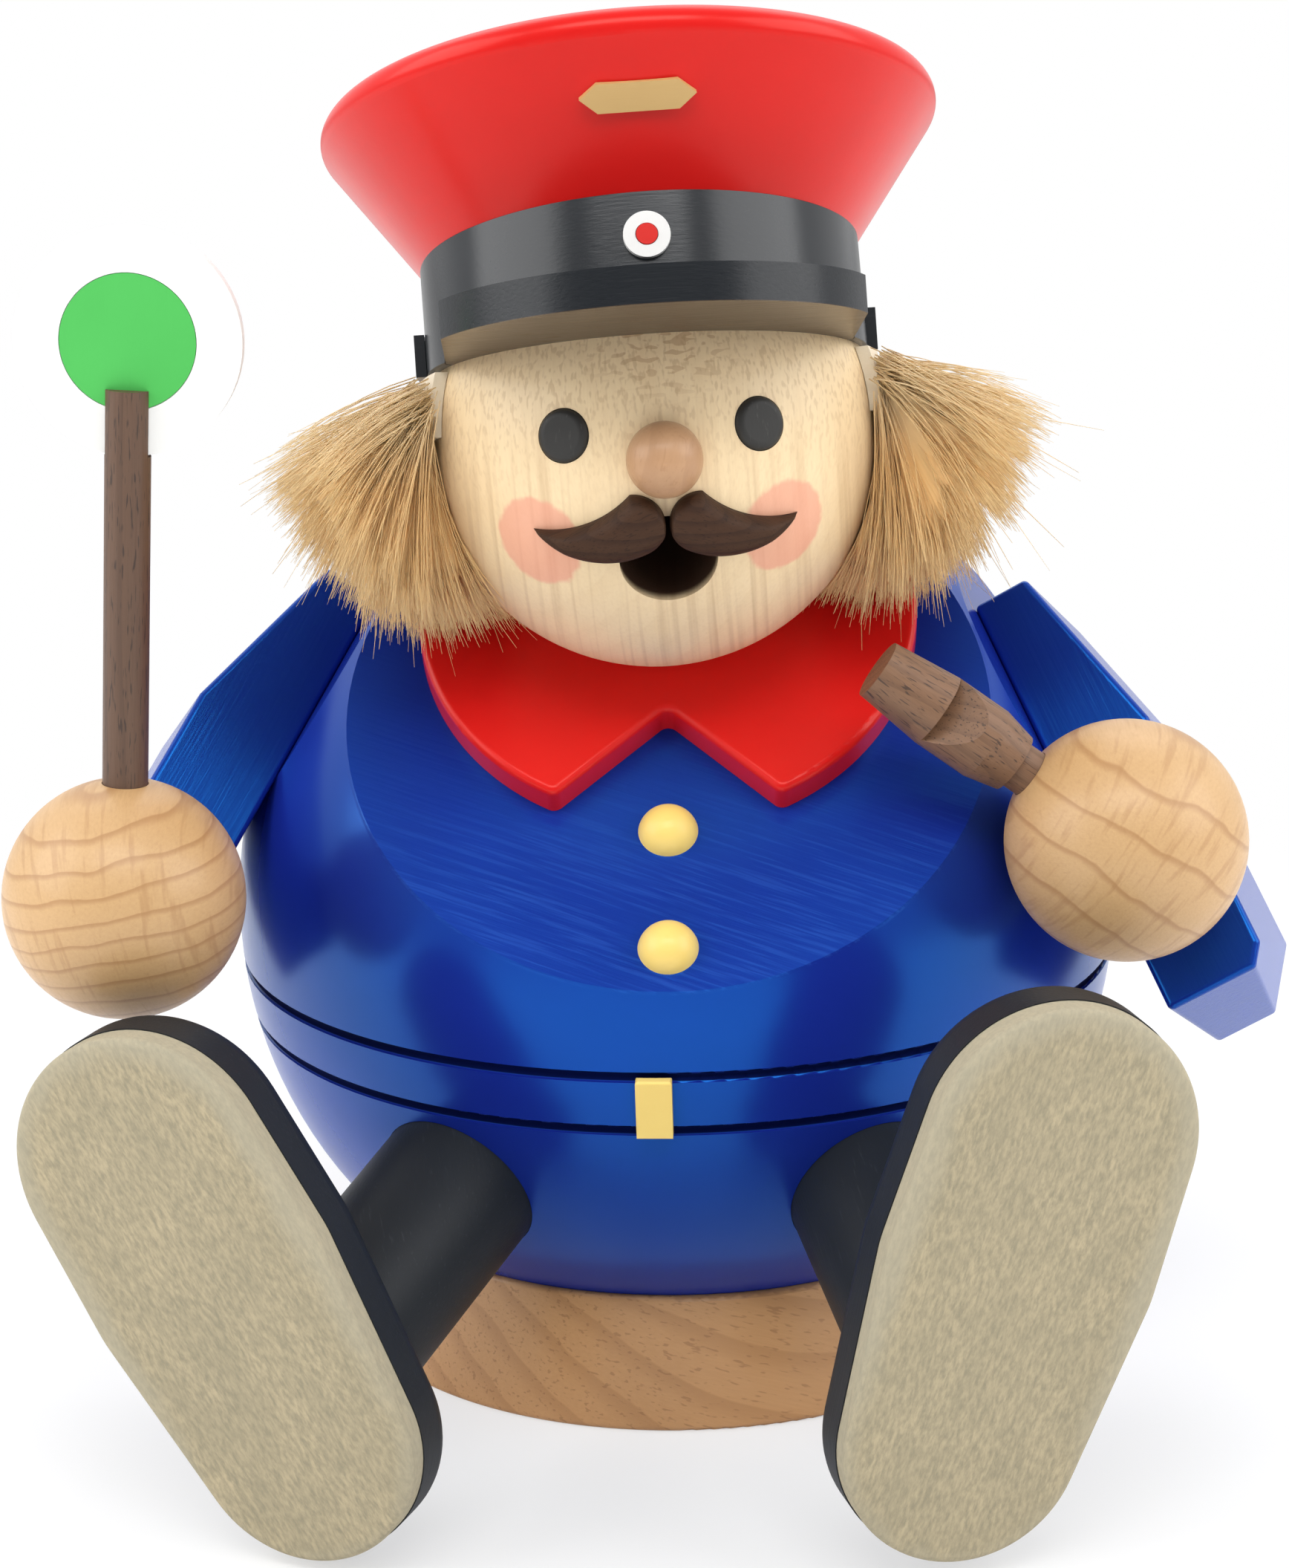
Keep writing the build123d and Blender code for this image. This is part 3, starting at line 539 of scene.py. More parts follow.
BEECH = WoodFinish(
    (0.63, 0.40, 0.190), (0.40, 0.205, 0.078), (0.36, 0.18, 0.07),
    ring_share=0.72, ring_wave=1.0, late_start=0.70, fleck_share=0.10, ray_share=0.40,
)
WIDE_BEECH = replace(BEECH, ring_pitch=3.6, ring_wave=1.5, late_start=0.80)
FOOT_BEECH = WoodFinish(
    (0.60, 0.325, 0.138), (0.40, 0.195, 0.073), (0.26, 0.115, 0.04), ring_pitch=3.2, fleck_share=0.45,
)
MAPLE = WoodFinish(
    (0.90, 0.71, 0.445), (0.73, 0.51, 0.28), (0.48, 0.26, 0.12),
    ring_pitch=2.6, ring_share=0.12, fleck_share=0.0, specular=0.3,
)
NOSE_WOOD = WoodFinish(
    (0.50, 0.29, 0.155), (0.36, 0.19, 0.095), (0.33, 0.16, 0.075),
    ring_pitch=3.2, ring_share=0.35, fleck_share=0.25, specular=0.35,
)
WALNUT = WoodFinish(
    (0.130, 0.068, 0.038), (0.050, 0.024, 0.014), (0.024, 0.012, 0.008),
    ring_pitch=1.1, ring_share=0.35, fleck_share=0.75, fleck_pitch=(0.16, 0.16, 1.6),
    pore=0.10, roughness=0.55,
)
LIGHT_WALNUT = replace(WALNUT, pale=(0.235, 0.120, 0.060), late=(0.085, 0.040, 0.021))
DARK_WOOD = WoodFinish(
    (0.060, 0.027, 0.013), (0.023, 0.010, 0.006), (0.012, 0.006, 0.004),
    ring_pitch=0.8, fleck_share=0.5, fleck_pitch=(0.14, 0.14, 1.4), pore=0.06,
    roughness=0.6, specular=0.2, sheen=Sheen.MATT,
)
# bare wood darkened as painted shade for the visor's underside
SHADED_VISOR_WOOD = WoodFinish(
    (0.058, 0.038, 0.025), (0.040, 0.025, 0.016), (0.027, 0.016, 0.010),
    ring_pitch=2.5, roughness=0.28, specular=0.28,
)
DOWEL_WOOD = WoodFinish((0.66, 0.46, 0.25), (0.50, 0.30, 0.14), (0.40, 0.22, 0.10))
SOLE_BOARD = BoardFinish((0.49, 0.408, 0.265), (0.285, 0.255, 0.175), (0.42, 0.385, 0.29))
BLUE = LacquerFinish(
    (0.009, 0.023, 0.28), (0.007, 0.018, 0.22), 0.24, Sheen.MATT,
    ripple=0.03, specular=0.5, tint=(0.02, 0.33, 1.0), bending=2.2,
)
RED = LacquerFinish((0.68, 0.010, 0.009), (0.54, 0.007, 0.006), ripple=0.006, tint=(1.0, 0.40, 0.32))
BLACK = LacquerFinish(
    (0.015, 0.018, 0.022), (0.008, 0.010, 0.013), 0.30, Sheen.SATIN, (0.25, 0.25, 5.0), 0.03,
    worn_share=0.12, worn=(0.05, 0.055, 0.065),
)
CAP_BLACK = replace(BLACK, roughness=0.24, ripple=0.012)
DULL_BLACK = replace(BLACK, roughness=0.5, sheen=Sheen.MATT, specular=0.25, worn_share=0.3)
EYE_BLACK = LacquerFinish(
    (0.030, 0.029, 0.027), (0.016, 0.016, 0.015), 0.55, Sheen.MATT, (0.22, 0.22, 3.0),
    worn_share=0.35, worn=(0.09, 0.085, 0.08),
)
WHITE = LacquerFinish((0.86, 0.86, 0.84), (0.78, 0.78, 0.76), 0.55, Sheen.MATT)
GREEN = LacquerFinish((0.075, 0.50, 0.095), (0.055, 0.42, 0.07), 0.6, Sheen.MATT, ripple=0.02)
GOLD = LacquerFinish((0.92, 0.68, 0.19), (0.76, 0.52, 0.13), 0.42, Sheen.SATIN, (0.25, 0.25, 2.5), 0.02)
BAR_GOLD = replace(GOLD, colour=(0.62, 0.40, 0.15), shade=(0.48, 0.29, 0.10))
STEEL = LacquerFinish((0.55, 0.55, 0.56), (0.42, 0.41, 0.40), 0.38, Sheen.MATT, (0.3, 0.3, 6.0), 0.01)
HIDE = LacquerFinish((0.84, 0.76, 0.60), (0.70, 0.60, 0.45), 0.7, Sheen.MATT, (0.6, 0.6, 0.6), 0.05)
FUR = FurFinish()
UNDER_FUR = replace(
    FUR, root=(0.86, 0.52, 0.20), body=(0.88, 0.56, 0.23), tip=(0.90, 0.60, 0.27), through=0.0,
)


def dress(material: Material, *nodes: str) -> None:
    """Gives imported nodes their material."""
    for node in nodes:
        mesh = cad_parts[node].data
        mesh.materials.clear()
        mesh.materials.append(material)
        log.info("dressed %s in %s", node, material.name)


def ring_faces(points: Array) -> Array:
    """Four-cornered faces of a skin whose points are rows of closed rings."""
    number = np.arange(points.size // 3).reshape(points.shape[:2])
    after = np.roll(number, -1, axis=1)
    return np.stack([number[:-1], after[:-1], after[1:], number[1:]], axis=-1).reshape(-1, 4)


def new_piece(name: str, points: Array, faces: Array, material: Material) -> Piece:
    """A mesh object at the origin, made from points in millimetres.

    Args:
        name: The piece's name.
        points: Points of the frame in millimetres, one row each.
        faces: Rows of point numbers, three or four to a face.
        material: The finish.

    Returns:
        The object, linked to the scene.
    """
    mesh = bpy.data.meshes.new(name)
    mesh.from_pydata((points * METRES).tolist(), [], faces.tolist())
    mesh.polygons.foreach_set("use_smooth", np.ones(len(mesh.polygons), dtype=bool))
    mesh.materials.append(material)
    mesh.update()
    piece = bpy.data.objects.new(name, mesh)
    bpy.context.scene.collection.objects.link(piece)
    log.info("made %s with %d faces", name, len(mesh.polygons))
    return piece


def settle(piece: Piece, half: Half, slot: str, *nodes: str) -> None:
    """Hides the nodes that a piece stands in for and puts the piece on its half."""
    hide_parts(*nodes)
    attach(piece, half.value)


@dataclass
class Fur:
    """The fur fringe: tufts of thin strands that start on the hide strip and fan out and down.

    Turns are degrees round the head from straight ahead, and the strip runs from the start round
    the back to the same turn on the other side.
    """

    start: float = 69.0
    root_radius: float = 18.6
    root_low: float = 0.7
    root_high: float = 4.0
    root_spread: float = 0.35
    tufts: int = 1500
    strands: int = 16
    loose: int = 500
    knots: int = 6
    fan: tuple[float, ...] = (-20.0, -50.0, -87.0, -110.0)
    fan_spread: float = 5.0
    lengths: tuple[float, ...] = (12.6, 13.6, 15.0, 13.6)
    length_spread: float = 0.035
    bow: float = 18.0
    bow_middle: float = 0.45
    front_lean: float = 22.0
    front_span: float = 28.0
    lean_spread: float = 7.0
    tuft_wide: float = 0.85
    tuft_tall: float = 0.60
    tuft_deep: float = 0.30
    tuft_taper: float = 0.35
    wave: float = 0.42
    wave_turn: float = 3.5
    trim: Pair = (0.97, 0.055)
    loose_trim: Pair = (1.05, 0.07)
    loose_spread: float = 1.9
    loose_power: float = 1.5
    tuft_tone: float = 0.6
    loose_tone: float = 0.3
    head_gap: float = 0.25
    body_gap: float = 0.2
    collar_rise: float = 8.6
    collar_radius: float = 20.4
    collar_end: float = 23.2
    collar_middle: float = 0.95
    collar_reach: float = 2.0
    thickness: float = 0.045
    thickness_end: float = 0.016
    thickness_power: float = 0.6
    thickness_spread: float = 0.15
    thickness_limits: Pair = (0.6, 1.5)
    core_share: float = 0.80
    core_sink: float = 0.20
    core_turns: int = 131
    core_steps: int = 150
    core_ends: int = 4
    core_rim: float = 0.8
    core_inset: float = 0.6
    core_round: float = 6.0
    core_least: float = 0.003
    ridge_turn: float = 0.6
    ridge_reach: float = 0.03
    ridge_lean: float = 0.8
    ridge_tone: float = 0.22
    parts: tuple[str, ...] = ("left", "back_left", "middle_left", "middle_right", "back_right", "right")
    seed: int = 20

    def lay(self, fall: Array) -> tuple[Array, Array]:
        """The strands' rise in degrees and the roots' height, for a fall of 0 to 1 down the strip."""
        rise = self.fan[0] + (self.fan[-1] - self.fan[0]) * fall
        return rise, self.root_high - (self.root_high - self.root_low) * fall

    def length(self, rise: Array) -> Array:
        """The strands' length at a rise."""
        return np.interp(-rise, np.negative(self.fan), self.lengths)

    def swept(self, turn: Array, edge: Array) -> tuple[Array, Array]:
        """How far a turn belongs to the strip's front ends, and the lean there in degrees."""
        front = np.clip(1.0 - edge / self.front_span, 0.0, 1.0)
        return front, np.where(turn < 180.0, -front, front) * self.front_lean

    def guides(self, count: int, rng: Random) -> tuple[Array, Array, Array]:
        """The middle lines of the tufts, in the head's axes.

        A line starts on the strip at a turn and a height. The lower its root, the steeper it falls,
        from just under level at the strip's top to down and inward at its foot. The rise drops by
        the bow from root to tip, and the point is the running sum of the unit steps at that rise.

        Args:
            count: How many lines.
            rng: The random source.

        Returns:
            Points by line and knot, the outward steps at the roots, and the turns in degrees.
        """
        turn = self.start + (360.0 - 2.0 * self.start) * (np.arange(count) + rng.random(count)) / count
        rise, height = self.lay(rng.random(count))
        rise = rise + rng.normal(0.0, self.fan_spread, count)
        length = self.length(rise) * rng.normal(1.0, self.length_spread, count)
        _, sweep = self.swept(turn, np.minimum(turn - self.start, 360.0 - self.start - turn))
        lean = np.radians(rng.normal(0.0, self.lean_spread, count) + sweep)
        a = np.radians(turn)
        outward = np.stack([np.sin(a), -np.cos(a), np.zeros(count)], axis=1)
        across = np.stack([np.cos(a), np.sin(a), np.zeros(count)], axis=1)
        flow = np.cos(lean)[:, None] * outward + np.sin(lean)[:, None] * across
        path = np.linspace(0.0, 1.0, self.knots)
        angle = np.radians(rise[:, None] + self.bow * (self.bow_middle - path[None, :]))
        steps = np.cos(angle)[..., None] * flow[:, None, :]
        steps[..., 2] += np.sin(angle)
        steps = steps * (length / (self.knots - 1))[:, None, None]
        steps[:, 0] = outward * self.root_radius
        steps[:, 0, 2] = height + rng.normal(0.0, self.root_spread, count)
        return np.cumsum(steps, axis=1), outward, turn

    def lines(self, rng: Random) -> tuple[Array, Array, Array]:
        """Every strand's middle line in the head's axes.

        A strand is its tuft's line moved sideways by an offset that shrinks a little to the tip, so
        that tufts end in soft points, plus a slow wave of its own that grows toward the tip.

        Args:
            rng: The random source.

        Returns:
            Points by strand and knot, each strand's turn in degrees, and its tone from 0 to 1.
        """
        guide, outward, turn = self.guides(self.tufts, rng)
        path = np.linspace(0.0, 1.0, self.knots)
        shape = (self.tufts, self.strands)
        across = np.stack([-outward[:, 1], outward[:, 0], np.zeros(self.tufts)], axis=1)
        wide = rng.normal(0.0, self.tuft_wide, shape)
        tall = rng.normal(0.0, self.tuft_tall, shape)
        deep = rng.normal(0.0, self.tuft_deep, shape)
        offset = wide[..., None] * across[:, None, :] + deep[..., None] * outward[:, None, :]
        offset[..., 2] += tall
        keep = 1.0 - self.tuft_taper * path
        wave = rng.normal(0.0, self.wave, (*shape, 3))
        phase = rng.random(shape) * 2.0 * np.pi
        ripple = np.sin(phase[..., None] + self.wave_turn * path) * path
        reach = rng.normal(*self.trim, shape)
        root = guide[:, None, :1, :]
        strand = root + (guide[:, None] - root) * reach[..., None, None]
        strand = strand + offset[:, :, None, :] * keep[None, None, :, None]
        strand = strand + wave[:, :, None, :] * ripple[..., None]
        loose, _, loose_turn = self.guides(self.loose, rng)
        loose = loose[:, :1] + (loose - loose[:, :1]) * rng.normal(*self.loose_trim, (self.loose, 1, 1))
        stray = rng.normal(0.0, self.loose_spread, (self.loose, 1, 3))
        loose = loose + stray * path[None, :, None] ** self.loose_power
        lines = np.concatenate([strand.reshape(-1, self.knots, 3), loose])
        turns = np.concatenate([np.repeat(turn, self.strands), loose_turn])
        shared = np.repeat(rng.random(self.tufts), self.strands)
        own = rng.random(shared.size)
        tones = self.tuft_tone * shared + (1.0 - self.tuft_tone) * own
        return lines, turns, np.concatenate([tones, self.loose_tone * rng.random(self.loose)])

    def clear(self, lines: Array) -> Array:
        """Lifts strands off the head, the ball and the collar.

        A point inside the head's sphere goes to the sphere's skin along its radius. A point inside
        the ball and under the chest flat goes to whichever skin is nearer, and a point in or near
        the collar's plate goes to just above the plate.

        Args:
            lines: Points by strand and knot in the head's axes.

        Returns:
            Points by strand and knot in the frame.
        """
        reach = np.linalg.norm(lines, axis=-1, keepdims=True)
        points = HEAD.out(lines * np.maximum(1.0, (HEAD_RADIUS + self.head_gap) / reach))
        spoke = points - np.asarray(BALL_MIDDLE)
        far = np.linalg.norm(spoke, axis=-1)
        depth = BALL_RADIUS + self.body_gap - far
        sink = self.body_gap - CHEST.into(points)[..., 2]
        inside = (depth > 0.0) & (sink > 0.0)
        by_ball = np.where(inside & (depth <= sink), depth / far, 0.0)
        by_flat = np.where(inside & (sink < depth), sink, 0.0)
        points = points + spoke * by_ball[..., None] + np.asarray(CHEST.z) * by_flat[..., None]
        x, y, z = np.moveaxis(CHEST.into(points), -1, 0)
        plate = (np.hypot(x, y - self.collar_rise) < self.collar_radius) & (y < self.collar_end)
        over = z - self.collar_middle
        lift = np.where(plate & (np.abs(over) < self.collar_reach), self.collar_reach - over, 0.0)
        return points + np.asarray(CHEST.z) * lift[..., None]

    def tubes(self, points: Array, rng: Random) -> tuple[Array, Array]:
        """Three-sided closed tubes that thin out along the strands.

        At each knot three corners stand round the middle line. Their distance from it is the
        thickness times a power of what is left of the path to the tip, plus the end's thickness,
        all times a random number for each strand.

        Args:
            points: Points by strand and knot.
            rng: The random source.

        Returns:
            The corners by strand, knot and side, and the faces.
        """
        count, knots = points.shape[:2]
        left = 1.0 - np.linspace(0.0, 1.0, knots)
        run = np.gradient(points, axis=1)
        run = run / np.maximum(np.linalg.norm(run, axis=-1, keepdims=True), 1e-6)
        side = np.cross(run, np.asarray(HEAD.y))
        side = side / np.maximum(np.linalg.norm(side, axis=-1, keepdims=True), 1e-6)
        over = np.cross(side, run)
        spread = rng.normal(1.0, self.thickness_spread, (count, 1)).clip(*self.thickness_limits)
        radius = (self.thickness * left**self.thickness_power + self.thickness_end) * spread
        turns = np.radians([90.0, 210.0, 330.0])
        ring = side[:, :, None, :] * np.cos(turns)[:, None] - over[:, :, None, :] * np.sin(turns)[:, None]
        corners = points[:, :, None, :] + ring * radius[:, :, None, None]
        number = np.arange(count * knots * 3).reshape(count, knots, 3)
        here, after = number[:, :-1], np.roll(number, -1, axis=2)[:, :-1]
        there, beyond = number[:, 1:], np.roll(number, -1, axis=2)[:, 1:]
        threes = ((here, after, beyond), (here, beyond, there))
        walls = [np.stack(three, axis=-1).reshape(-1, 3) for three in threes]
        return corners, np.concatenate([*walls, number[:, -1], number[:, 0, ::-1]])

    def core(self, rng: Random) -> tuple[Array, Array, Array, Array]:
        """The matted under-fur: a closed body that fills the inner part of the fan.

        Its section at each turn runs out under the fan's top strands, round the strands' ends at a
        share of their length and back along the fan's foot. The share falls to nothing at the
        strip's ends as the square root of a sine, which rounds them. A random number for each step
        of the fan and each turn gives ridges and streaks that run along the strands.

        Args:
            rng: The random source.

        Returns:
            Points by turn and place in the head's axes, faces, each point's path from the root, and
            its tone from 0 to 1.
        """
        first = self.start + self.core_inset
        turn = np.linspace(first, 360.0 - first, self.core_turns)
        rim = np.linspace(0.0, self.core_rim, self.core_ends)
        back = np.linspace(1.0, 0.0, self.core_ends + 1)[1:-1]
        steps = np.linspace(0.0, 1.0, self.core_steps)
        fall = np.concatenate([np.zeros(rim.size), steps, np.ones(rim.size), back])
        share = np.concatenate([rim, np.ones(steps.size), rim[::-1], np.zeros(back.size)])
        ridge = rng.normal(0.0, 1.0, (1, fall.size))
        ridge = ridge + self.ridge_turn * rng.normal(0.0, 1.0, (turn.size, 1))
        edge = np.minimum(turn - turn[0], turn[-1] - turn)
        ends = np.sin(np.pi / 2.0 * np.clip(edge / self.core_round, 0.0, 1.0)).clip(self.core_least)
        full = np.sqrt(ends)[:, None] * share[None, :]
        rise, height = self.lay(self.core_sink + (1.0 - self.core_sink) * fall)
        reach = self.length(rise) * self.core_share * full * (1.0 + self.ridge_reach * ridge)
        front, sweep = self.swept(turn, edge)
        lean = front[:, None] * self.ridge_lean * ridge + sweep[:, None]
        a, b = np.radians(turn)[:, None], np.radians(turn[:, None] + lean)
        level = reach * np.cos(np.radians(rise))
        points = np.stack(
            [
                self.root_radius * np.sin(a) + level * np.sin(b),
                -self.root_radius * np.cos(a) - level * np.cos(b),
                height + reach * np.sin(np.radians(rise)),
            ],
            axis=-1,
        )
        tone = (0.5 + self.ridge_tone * ridge).clip(0.0, 1.0)
        return points, ring_faces(points), full * self.core_share, tone

    @staticmethod
    def put(piece: Piece, path: Array, tone: Array) -> None:
        """Writes each point's path from the root and its tone to the mesh, and settles the piece."""
        for label, values in (("tip", path), ("tone", tone)):
            data = piece.data.attributes.new(label, "FLOAT", "POINT").data
            data.foreach_set("value", values.reshape(-1).astype(np.float32))
        settle(piece, Half.UPPER, "fur", "hair_fringe")

    def build(self) -> None:
        """Makes the under-fur, then the fringe in six lengths, so that each mesh stays light."""
        rng = np.random.default_rng(self.seed)
        lines, turns, tones = self.lines(rng)
        points = self.clear(lines)
        material = FUR.material("blond_fur")
        inner, walls, inner_path, inner_tone = self.core(rng)
        matted = UNDER_FUR.material("blond_under_fur")
        piece = new_piece("fur_under", self.clear(inner).reshape(-1, 3), walls, matted)
        self.put(piece, inner_path, inner_tone)
        ends = np.linspace(self.start, 360.0 - self.start, len(self.parts) + 1)
        for name, low, high in zip(self.parts, ends[:-1], ends[1:]):
            chosen = (turns >= low) & (turns < high)
            corners, faces = self.tubes(points[chosen], rng)
            piece = new_piece(f"fur_{name}", corners.reshape(-1, 3), faces, material)
            path = np.broadcast_to(np.linspace(0.0, 1.0, self.knots)[None, :, None], corners.shape[:3])
            tone = np.broadcast_to(tones[chosen][:, None, None], corners.shape[:3])
            self.put(piece, path, tone)


@dataclass
class Face:
    """The head with painted cheeks, the eyes, the nose and a crowned moustache."""

    lip_rise: float = -27.0
    thickness: float = 1.7
    lift: float = 0.05
    crown_span: float = 0.9
    outline_steps: int = 25
    ring_steps: int = 32
    inner: Pair = (0.15, 0.0)
    bulge: Pair = (1.1, 1.9)
    top: Pair = (2.7, 2.3)
    dip: Pair = (6.2, -0.1)
    tip: Pair = (9.9, -0.9)
    belly: Pair = (5.6, -2.95)
    low: Pair = (1.7, -2.3)
    chin: Pair = (0.6, -1.4)
    moustache_pith: Triple = (0.0, -20.0, 60.0)
    moustache_slope: float = -0.35
    head_pith: Triple = (60.0, 30.0, 79.0)
    nose_grain: Grain = Grain((30.0, -36.0, 75.0), (0.2, 0.3, 1.0))
    upper_heights: Pair = (-7.0, 3.0)
    speck: Colour = (0.50, 0.31, 0.155)
    speck_pitch: Triple = (0.30, 0.30, 0.80)
    speck_edges: Pair = (0.50, 0.66)
    speck_shares: Pair = (0.05, 0.34)
    line_pitch: Triple = (0.7, 40.0, 70.0)
    line_edges: Pair = (0.45, 0.75)
    line_shares: Pair = (0.45, 0.04)
    brow: Triple = (1.5, -15.8, 7.0)
    brow_reach: Pair = (8.0, 3.0)
    ray: Colour = (0.52, 0.30, 0.15)
    ray_pitch: Triple = (0.95, 0.95, 0.42)
    ray_edges: Pair = (0.58, 0.64)
    ray_share: float = 0.5
    cheek_turns: Pair = (-38.5, 35.0)
    cheek_rise: float = -28.8
    cheek_radius: float = 3.6
    cheek_edge: float = 0.25
    ragged_pitch: Triple = (1.1, 1.1, 1.1)
    ragged: float = 0.35
    pink: Colour = (0.80, 0.31, 0.22)
    pink_share: float = 0.68
    # bore is a dark colour painted as shade on the wood inside the mouth's bore
    bore: Colour = (0.050, 0.018, 0.012)
    bore_depths: Pair = (0.05, 1.1)
    painted_bore_shade_share: float = 0.96

    @staticmethod
    def arc(a: Pair, b: Pair, c: Pair, share: Array) -> Array:
        """Points of the circle arc from a through b to c.

        The circle's middle has the same distance from all three points, and the angle runs evenly
        from a to c on the side of b.

        Args:
            a: First point.
            b: A point on the way.
            c: Last point.
            share: Places along the arc from 0 to 1.

        Returns:
            One point per place.
        """
        a, b, c = (np.asarray(p, float) for p in (a, b, c))
        rows = 2.0 * np.array([b - a, c - a])
        middle = np.linalg.solve(rows, np.array([b @ b - a @ a, c @ c - a @ a]))
        angles = np.array([np.arctan2(*(p - middle)[::-1]) for p in (a, b, c)])
        turn = angles[0] + np.angle(np.exp(1j * np.diff(angles))).sum() * share
        return middle + np.linalg.norm(a - middle) * np.stack([np.cos(turn), np.sin(turn)], axis=-1)

    def outline(self, bend: Pair, joint: Pair, sag: Pair) -> Array:
        """One edge of a half: an arc from the inner end over a bend to a joint, and one on to the tip."""
        along = np.linspace(0.0, 1.0, self.outline_steps)
        first = self.arc(self.inner, bend, joint, along[:-1])
        return np.concatenate([first, self.arc(joint, sag, self.tip, along)])

    def half(self, sign: float) -> tuple[Array, Array]:
        """One half of the moustache as a crowned pad on the head.

        The upper and lower outlines are followed together. Across them the height over the head
        is the thickness times the square root of one less the fourth power of the place, which
        crowns the middle and rounds the edges. The back lies on the head's sphere.

        Args:
            sign: 1 for the figure's left, -1 for its right.

        Returns:
            Points in the frame, and faces.
        """
        upper = self.outline(self.bulge, self.top, self.dip)
        lower = self.outline(self.chin, self.low, self.belly)
        turn = np.linspace(0.0, 2.0 * np.pi, self.ring_steps + 1)[:-1]
        place = np.cos(turn)
        middle, reach = (upper + lower) / 2.0, (upper - lower) / 2.0
        flat = middle[:, None, :] + reach[:, None, :] * place[None, :, None]
        crown = np.clip(np.linalg.norm(reach, axis=1) / self.crown_span, 0.0, 1.0) ** 0.5
        dome = np.where(turn < np.pi, (1.0 - place**4) ** 0.5, 0.0)
        ball = HEAD_RADIUS + dome[None, :] * crown[:, None] * (self.thickness - self.lift) + self.lift
        deep = np.sqrt(np.maximum(ball**2 - flat[..., 0] ** 2 - flat[..., 1] ** 2, 1.0))
        out = np.array(face_step(0.0, self.lip_rise))
        across = np.array(HEAD.x)
        above = np.cross(out, across)
        points = (
            np.asarray(HEAD.origin)
            + sign * flat[..., :1] * across
            + flat[..., 1:] * above
            + deep[..., None] * out
        )
        quads = ring_faces(points)
        return points.reshape(-1, 3), quads if sign > 0 else quads[:, ::-1]

    def head_material(self) -> Material:
        """Maple with ray flecks on the brow, fine specks above and faint upright lines below.

        Pink paint covers a round of each cheek, and the bore behind the mouth is darkened as painted shade.
        """
        mix = Recipe("maple_head")
        tone, streak = MAPLE.colours(mix, Grain(self.head_pith, HEAD.z))
        at = mix.place(HEAD.origin, HEAD.z)
        upper = mix.step(mix.along(at), *self.upper_heights)
        specks = mix.step(mix.noise(at, self.speck_pitch, detail=1.0), *self.speck_edges)
        tone = mix.mix(mix.sum("MULTIPLY", specks, mix.level(upper, *self.speck_shares)), tone, self.speck)
        rays = mix.step(mix.noise(at, self.ray_pitch, detail=0.0), *self.ray_edges)
        rays = mix.sum("MULTIPLY", rays, mix.step(mix.vector("DISTANCE", at, self.brow), *self.brow_reach))
        tone = mix.mix(mix.level(rays, 0.0, self.ray_share), tone, self.ray)
        lines = mix.step(mix.noise(at, self.line_pitch), *self.line_edges)
        tone = mix.mix(mix.sum("MULTIPLY", lines, mix.level(upper, *self.line_shares)), tone, self.speck)
        ragged = mix.level(mix.noise(at, self.ragged_pitch), -self.ragged, self.ragged)
        for turn in self.cheek_turns:
            spot = tuple(HEAD_RADIUS * np.array(face_step(turn, self.cheek_rise)) + np.array(HEAD.origin))
            away = mix.sum("ADD", mix.vector("DISTANCE", mix.place(), spot), ragged)
            paint = mix.step(away, self.cheek_radius + self.cheek_edge, self.cheek_radius - self.cheek_edge)
            tone = mix.mix(mix.level(paint, 0.0, self.pink_share), tone, self.pink)
        # painted shade inside the mouth's bore
        deep = mix.step(mix.vector("LENGTH", at), *(HEAD_RADIUS - depth for depth in self.bore_depths))
        tone = mix.mix(mix.level(deep, 0.0, self.painted_bore_shade_share), tone, self.bore)
        return MAPLE.finish(mix, tone, streak)

    def build(self) -> None:
        """Makes the moustache and dresses the face."""
        dress(self.head_material(), "head")
        dress(EYE_BLACK.material("eye_black"), "eye_left", "eye_right")
        dress(NOSE_WOOD.material("nose_wood", self.nose_grain), "nose")
        for name, sign in (("left", 1.0), ("right", -1.0)):
            grain = Grain(self.moustache_pith, HEAD.along((1.0, 0.0, self.moustache_slope * sign)))
            material = DARK_WOOD.material(f"moustache_wood_{name}", grain)
            piece = new_piece(f"moustache_{name}_carved", *self.half(sign), material)
            settle(piece, Half.UPPER, "dark_wood", f"moustache_{name}")


@dataclass
class Cap:
    """The flared red cap with its black band, rim and visor, the cockade and the plain bar."""

    skin: Pair = (0.03, 0.06)
    visor_pith: Triple = (0.0, 20.0, 60.0)

    def visor_material(self) -> Material:
        """Black lacquer above, and bare wood on the face that lies in the brim's plane, darkened as painted
        shade.
        """
        mix = Recipe("visor_black_and_shaded_bare")
        wood, streak = SHADED_VISOR_WOOD.colours(mix, Grain(self.visor_pith, HEAD.x))
        over = mix.along(mix.vector("SUBTRACT", mix.place(), BRIM.origin), BRIM.z)
        tone = mix.mix(mix.step(over, *self.skin), wood, BLACK.shade)
        return SHADED_VISOR_WOOD.finish(mix, tone, streak)

    def build(self) -> None:
        """Dresses the cap's nodes."""
        dress(RED.material("red_lacquer", BRIM.x), "cap_crown")
        dress(CAP_BLACK.material("black_lacquer_cap", BRIM.x), "cap_band", "cap_rim")
        dress(self.visor_material(), "cap_visor")
        dress(WHITE.material("white_paint"), "cockade_disc")
        dress(RED.material("red_paint"), "cockade_centre")
        dress(BAR_GOLD.material("gold_bar", BRIM.x), "cap_badge")


